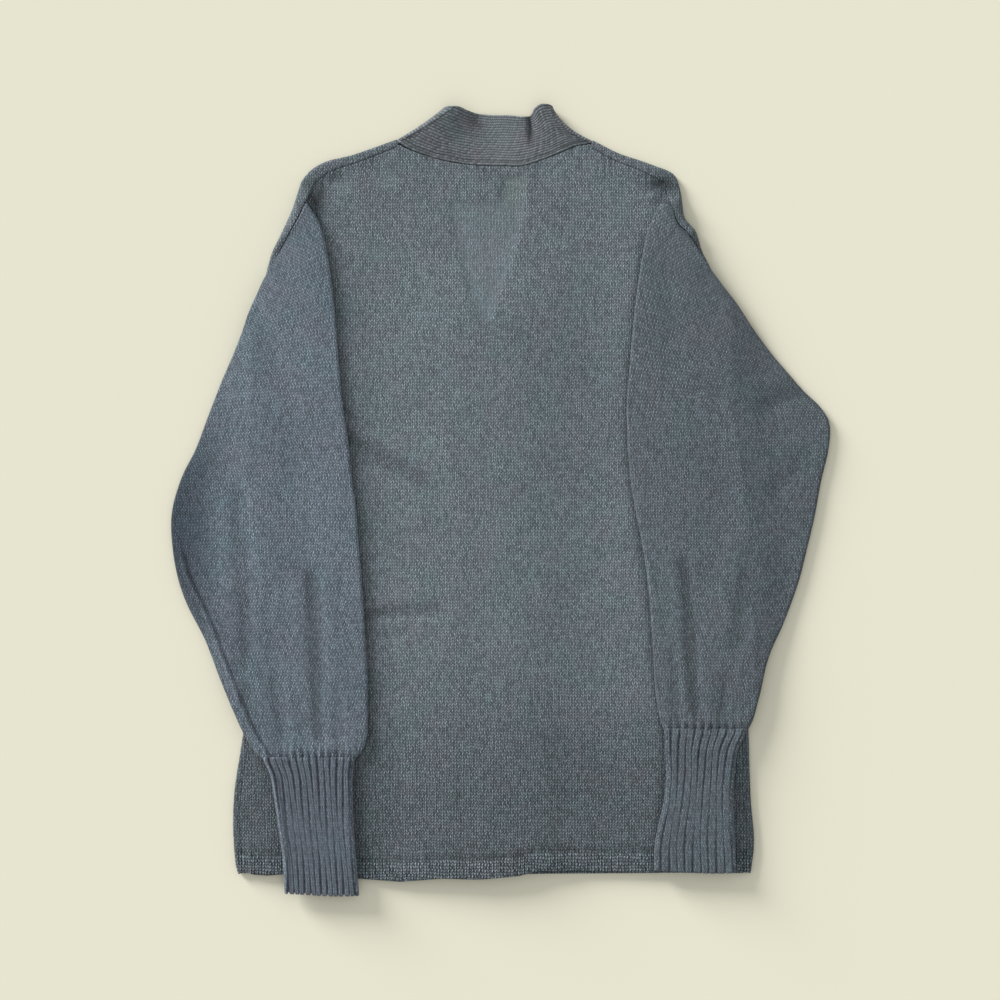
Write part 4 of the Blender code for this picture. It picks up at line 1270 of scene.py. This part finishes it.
# %% [markdown]
# ## Floor, light and camera
#
# The garment lies on a warm white table top, in soft light from all sides with
# one large lamp low at the upper left.  So every edge has a soft shadow to the
# right and below, and hardly any to the left.

# %% Floor
TABLE_REACH = 3.0             # metres from the middle of the table top to its sides
TABLE_GAP = 0.0002            # metres from the table top up to the garment
floor_z = cad_box[0][2] - TABLE_GAP
corners = [(-TABLE_REACH, -TABLE_REACH, floor_z), (TABLE_REACH, -TABLE_REACH, floor_z),
           (TABLE_REACH, TABLE_REACH, floor_z), (-TABLE_REACH, TABLE_REACH, floor_z)]
floor_mesh = bpy.data.meshes.new("table_top")
floor_mesh.from_pydata(corners, [], [(0, 1, 2, 3)])
table_white = new_material("table_white", {"Base Color": (0.80, 0.78, 0.63, 1.0), "Roughness": 0.95,
                                           "Specular IOR Level": 0.0})[0]
floor_mesh.materials.append(table_white)
table_top = add_object("table_top", floor_mesh)
table_top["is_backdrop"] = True
print("floor at", round(1000 * floor_z, 2), "mm")

# %% Light
world = bpy.data.worlds.new("soft_room")
bpy.context.scene.world = world
world.use_nodes = True
background = world.node_tree.nodes["Background"]
background.inputs["Color"].default_value = (1.0, 1.0, 1.0, 1.0)
background.inputs["Strength"].default_value = 0.61

lamp = bpy.data.lights.new("window", "SUN")
lamp.energy = 5.08
lamp.angle = math.radians(23.0)
window = add_object("window", lamp)
elevation, from_left = math.radians(14.0), math.radians(138.0)
window.rotation_euler = (math.pi / 2 - elevation, 0.0, from_left - math.pi / 2 + math.pi)
print("lamp elevation", round(math.degrees(elevation)), "degrees")

# %% Camera
VIEW_WIDTH = 0.95             # metres from side to side of the picture, half way up the garment
HALF_WAY_UP = 0.006
VIEW_MIDDLE = (-0.0005, -0.0017)
eye = bpy.data.cameras.new("overhead")
eye.lens = 100.0
eye.sensor_width = 36.0
camera = add_object("overhead", eye)
camera.location = (*VIEW_MIDDLE, VIEW_WIDTH * eye.lens / eye.sensor_width + HALF_WAY_UP)
bpy.context.scene.camera = camera
bpy.context.scene.view_settings.view_transform = "Standard"
print("camera", round(camera.location.z, 2), "m above the table")

# %% [markdown]
# ## What each piece stands for
#
# Each piece gets its material, replaces its solid and rides on the one body.

# %% Tie the pieces to the solids
dressed = [
    (back, "back_panel", body_wool, "body_knit"),
    (fronts["left"], "front_left_panel", body_wool, "body_knit"),
    (fronts["right"], "front_right_panel", body_wool, "body_knit"),
    (bands["left"], "front_band_left", band_wool, "band_knit"),
    (bands["right"], "front_band_right", band_wool, "band_knit"),
    (collar, "neck_band", band_wool, "band_knit"),
    (sleeves["left"], "sleeve_left", body_wool, "body_knit"),
    (sleeves["right"], "sleeve_right", body_wool, "body_knit"),
    (cuffs["left"], "cuff_left", rib_wool, "rib_knit"),
    (cuffs["right"], "cuff_right", rib_wool, "rib_knit"),
]
dressed += [(piece, f"button_{number + 1}", horn, "button") for number, piece in enumerate(buttons)]
for piece, node, material, slot in dressed:
    piece.data.materials.append(material)
    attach(piece, "root")
    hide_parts(node)


def half_surface(piece):
    """Half the surface of a closed wall, in square metres."""
    area = np.empty(len(piece.data.polygons))
    piece.data.polygons.foreach_get("area", area)
    return float(area.sum() / 2)


for piece, node, material, slot in dressed:
    if material is not horn:
        print(node, "covers", round(half_surface(piece), 3), "square metres")

# %% Count of cloth pieces
print("sheets", len(dressed) - len(buttons))

# %% Finish
whole_box = [list(corner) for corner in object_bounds()]
print("dressed box in mm:", [[round(1000 * c, 1) for c in p] for p in whole_box])
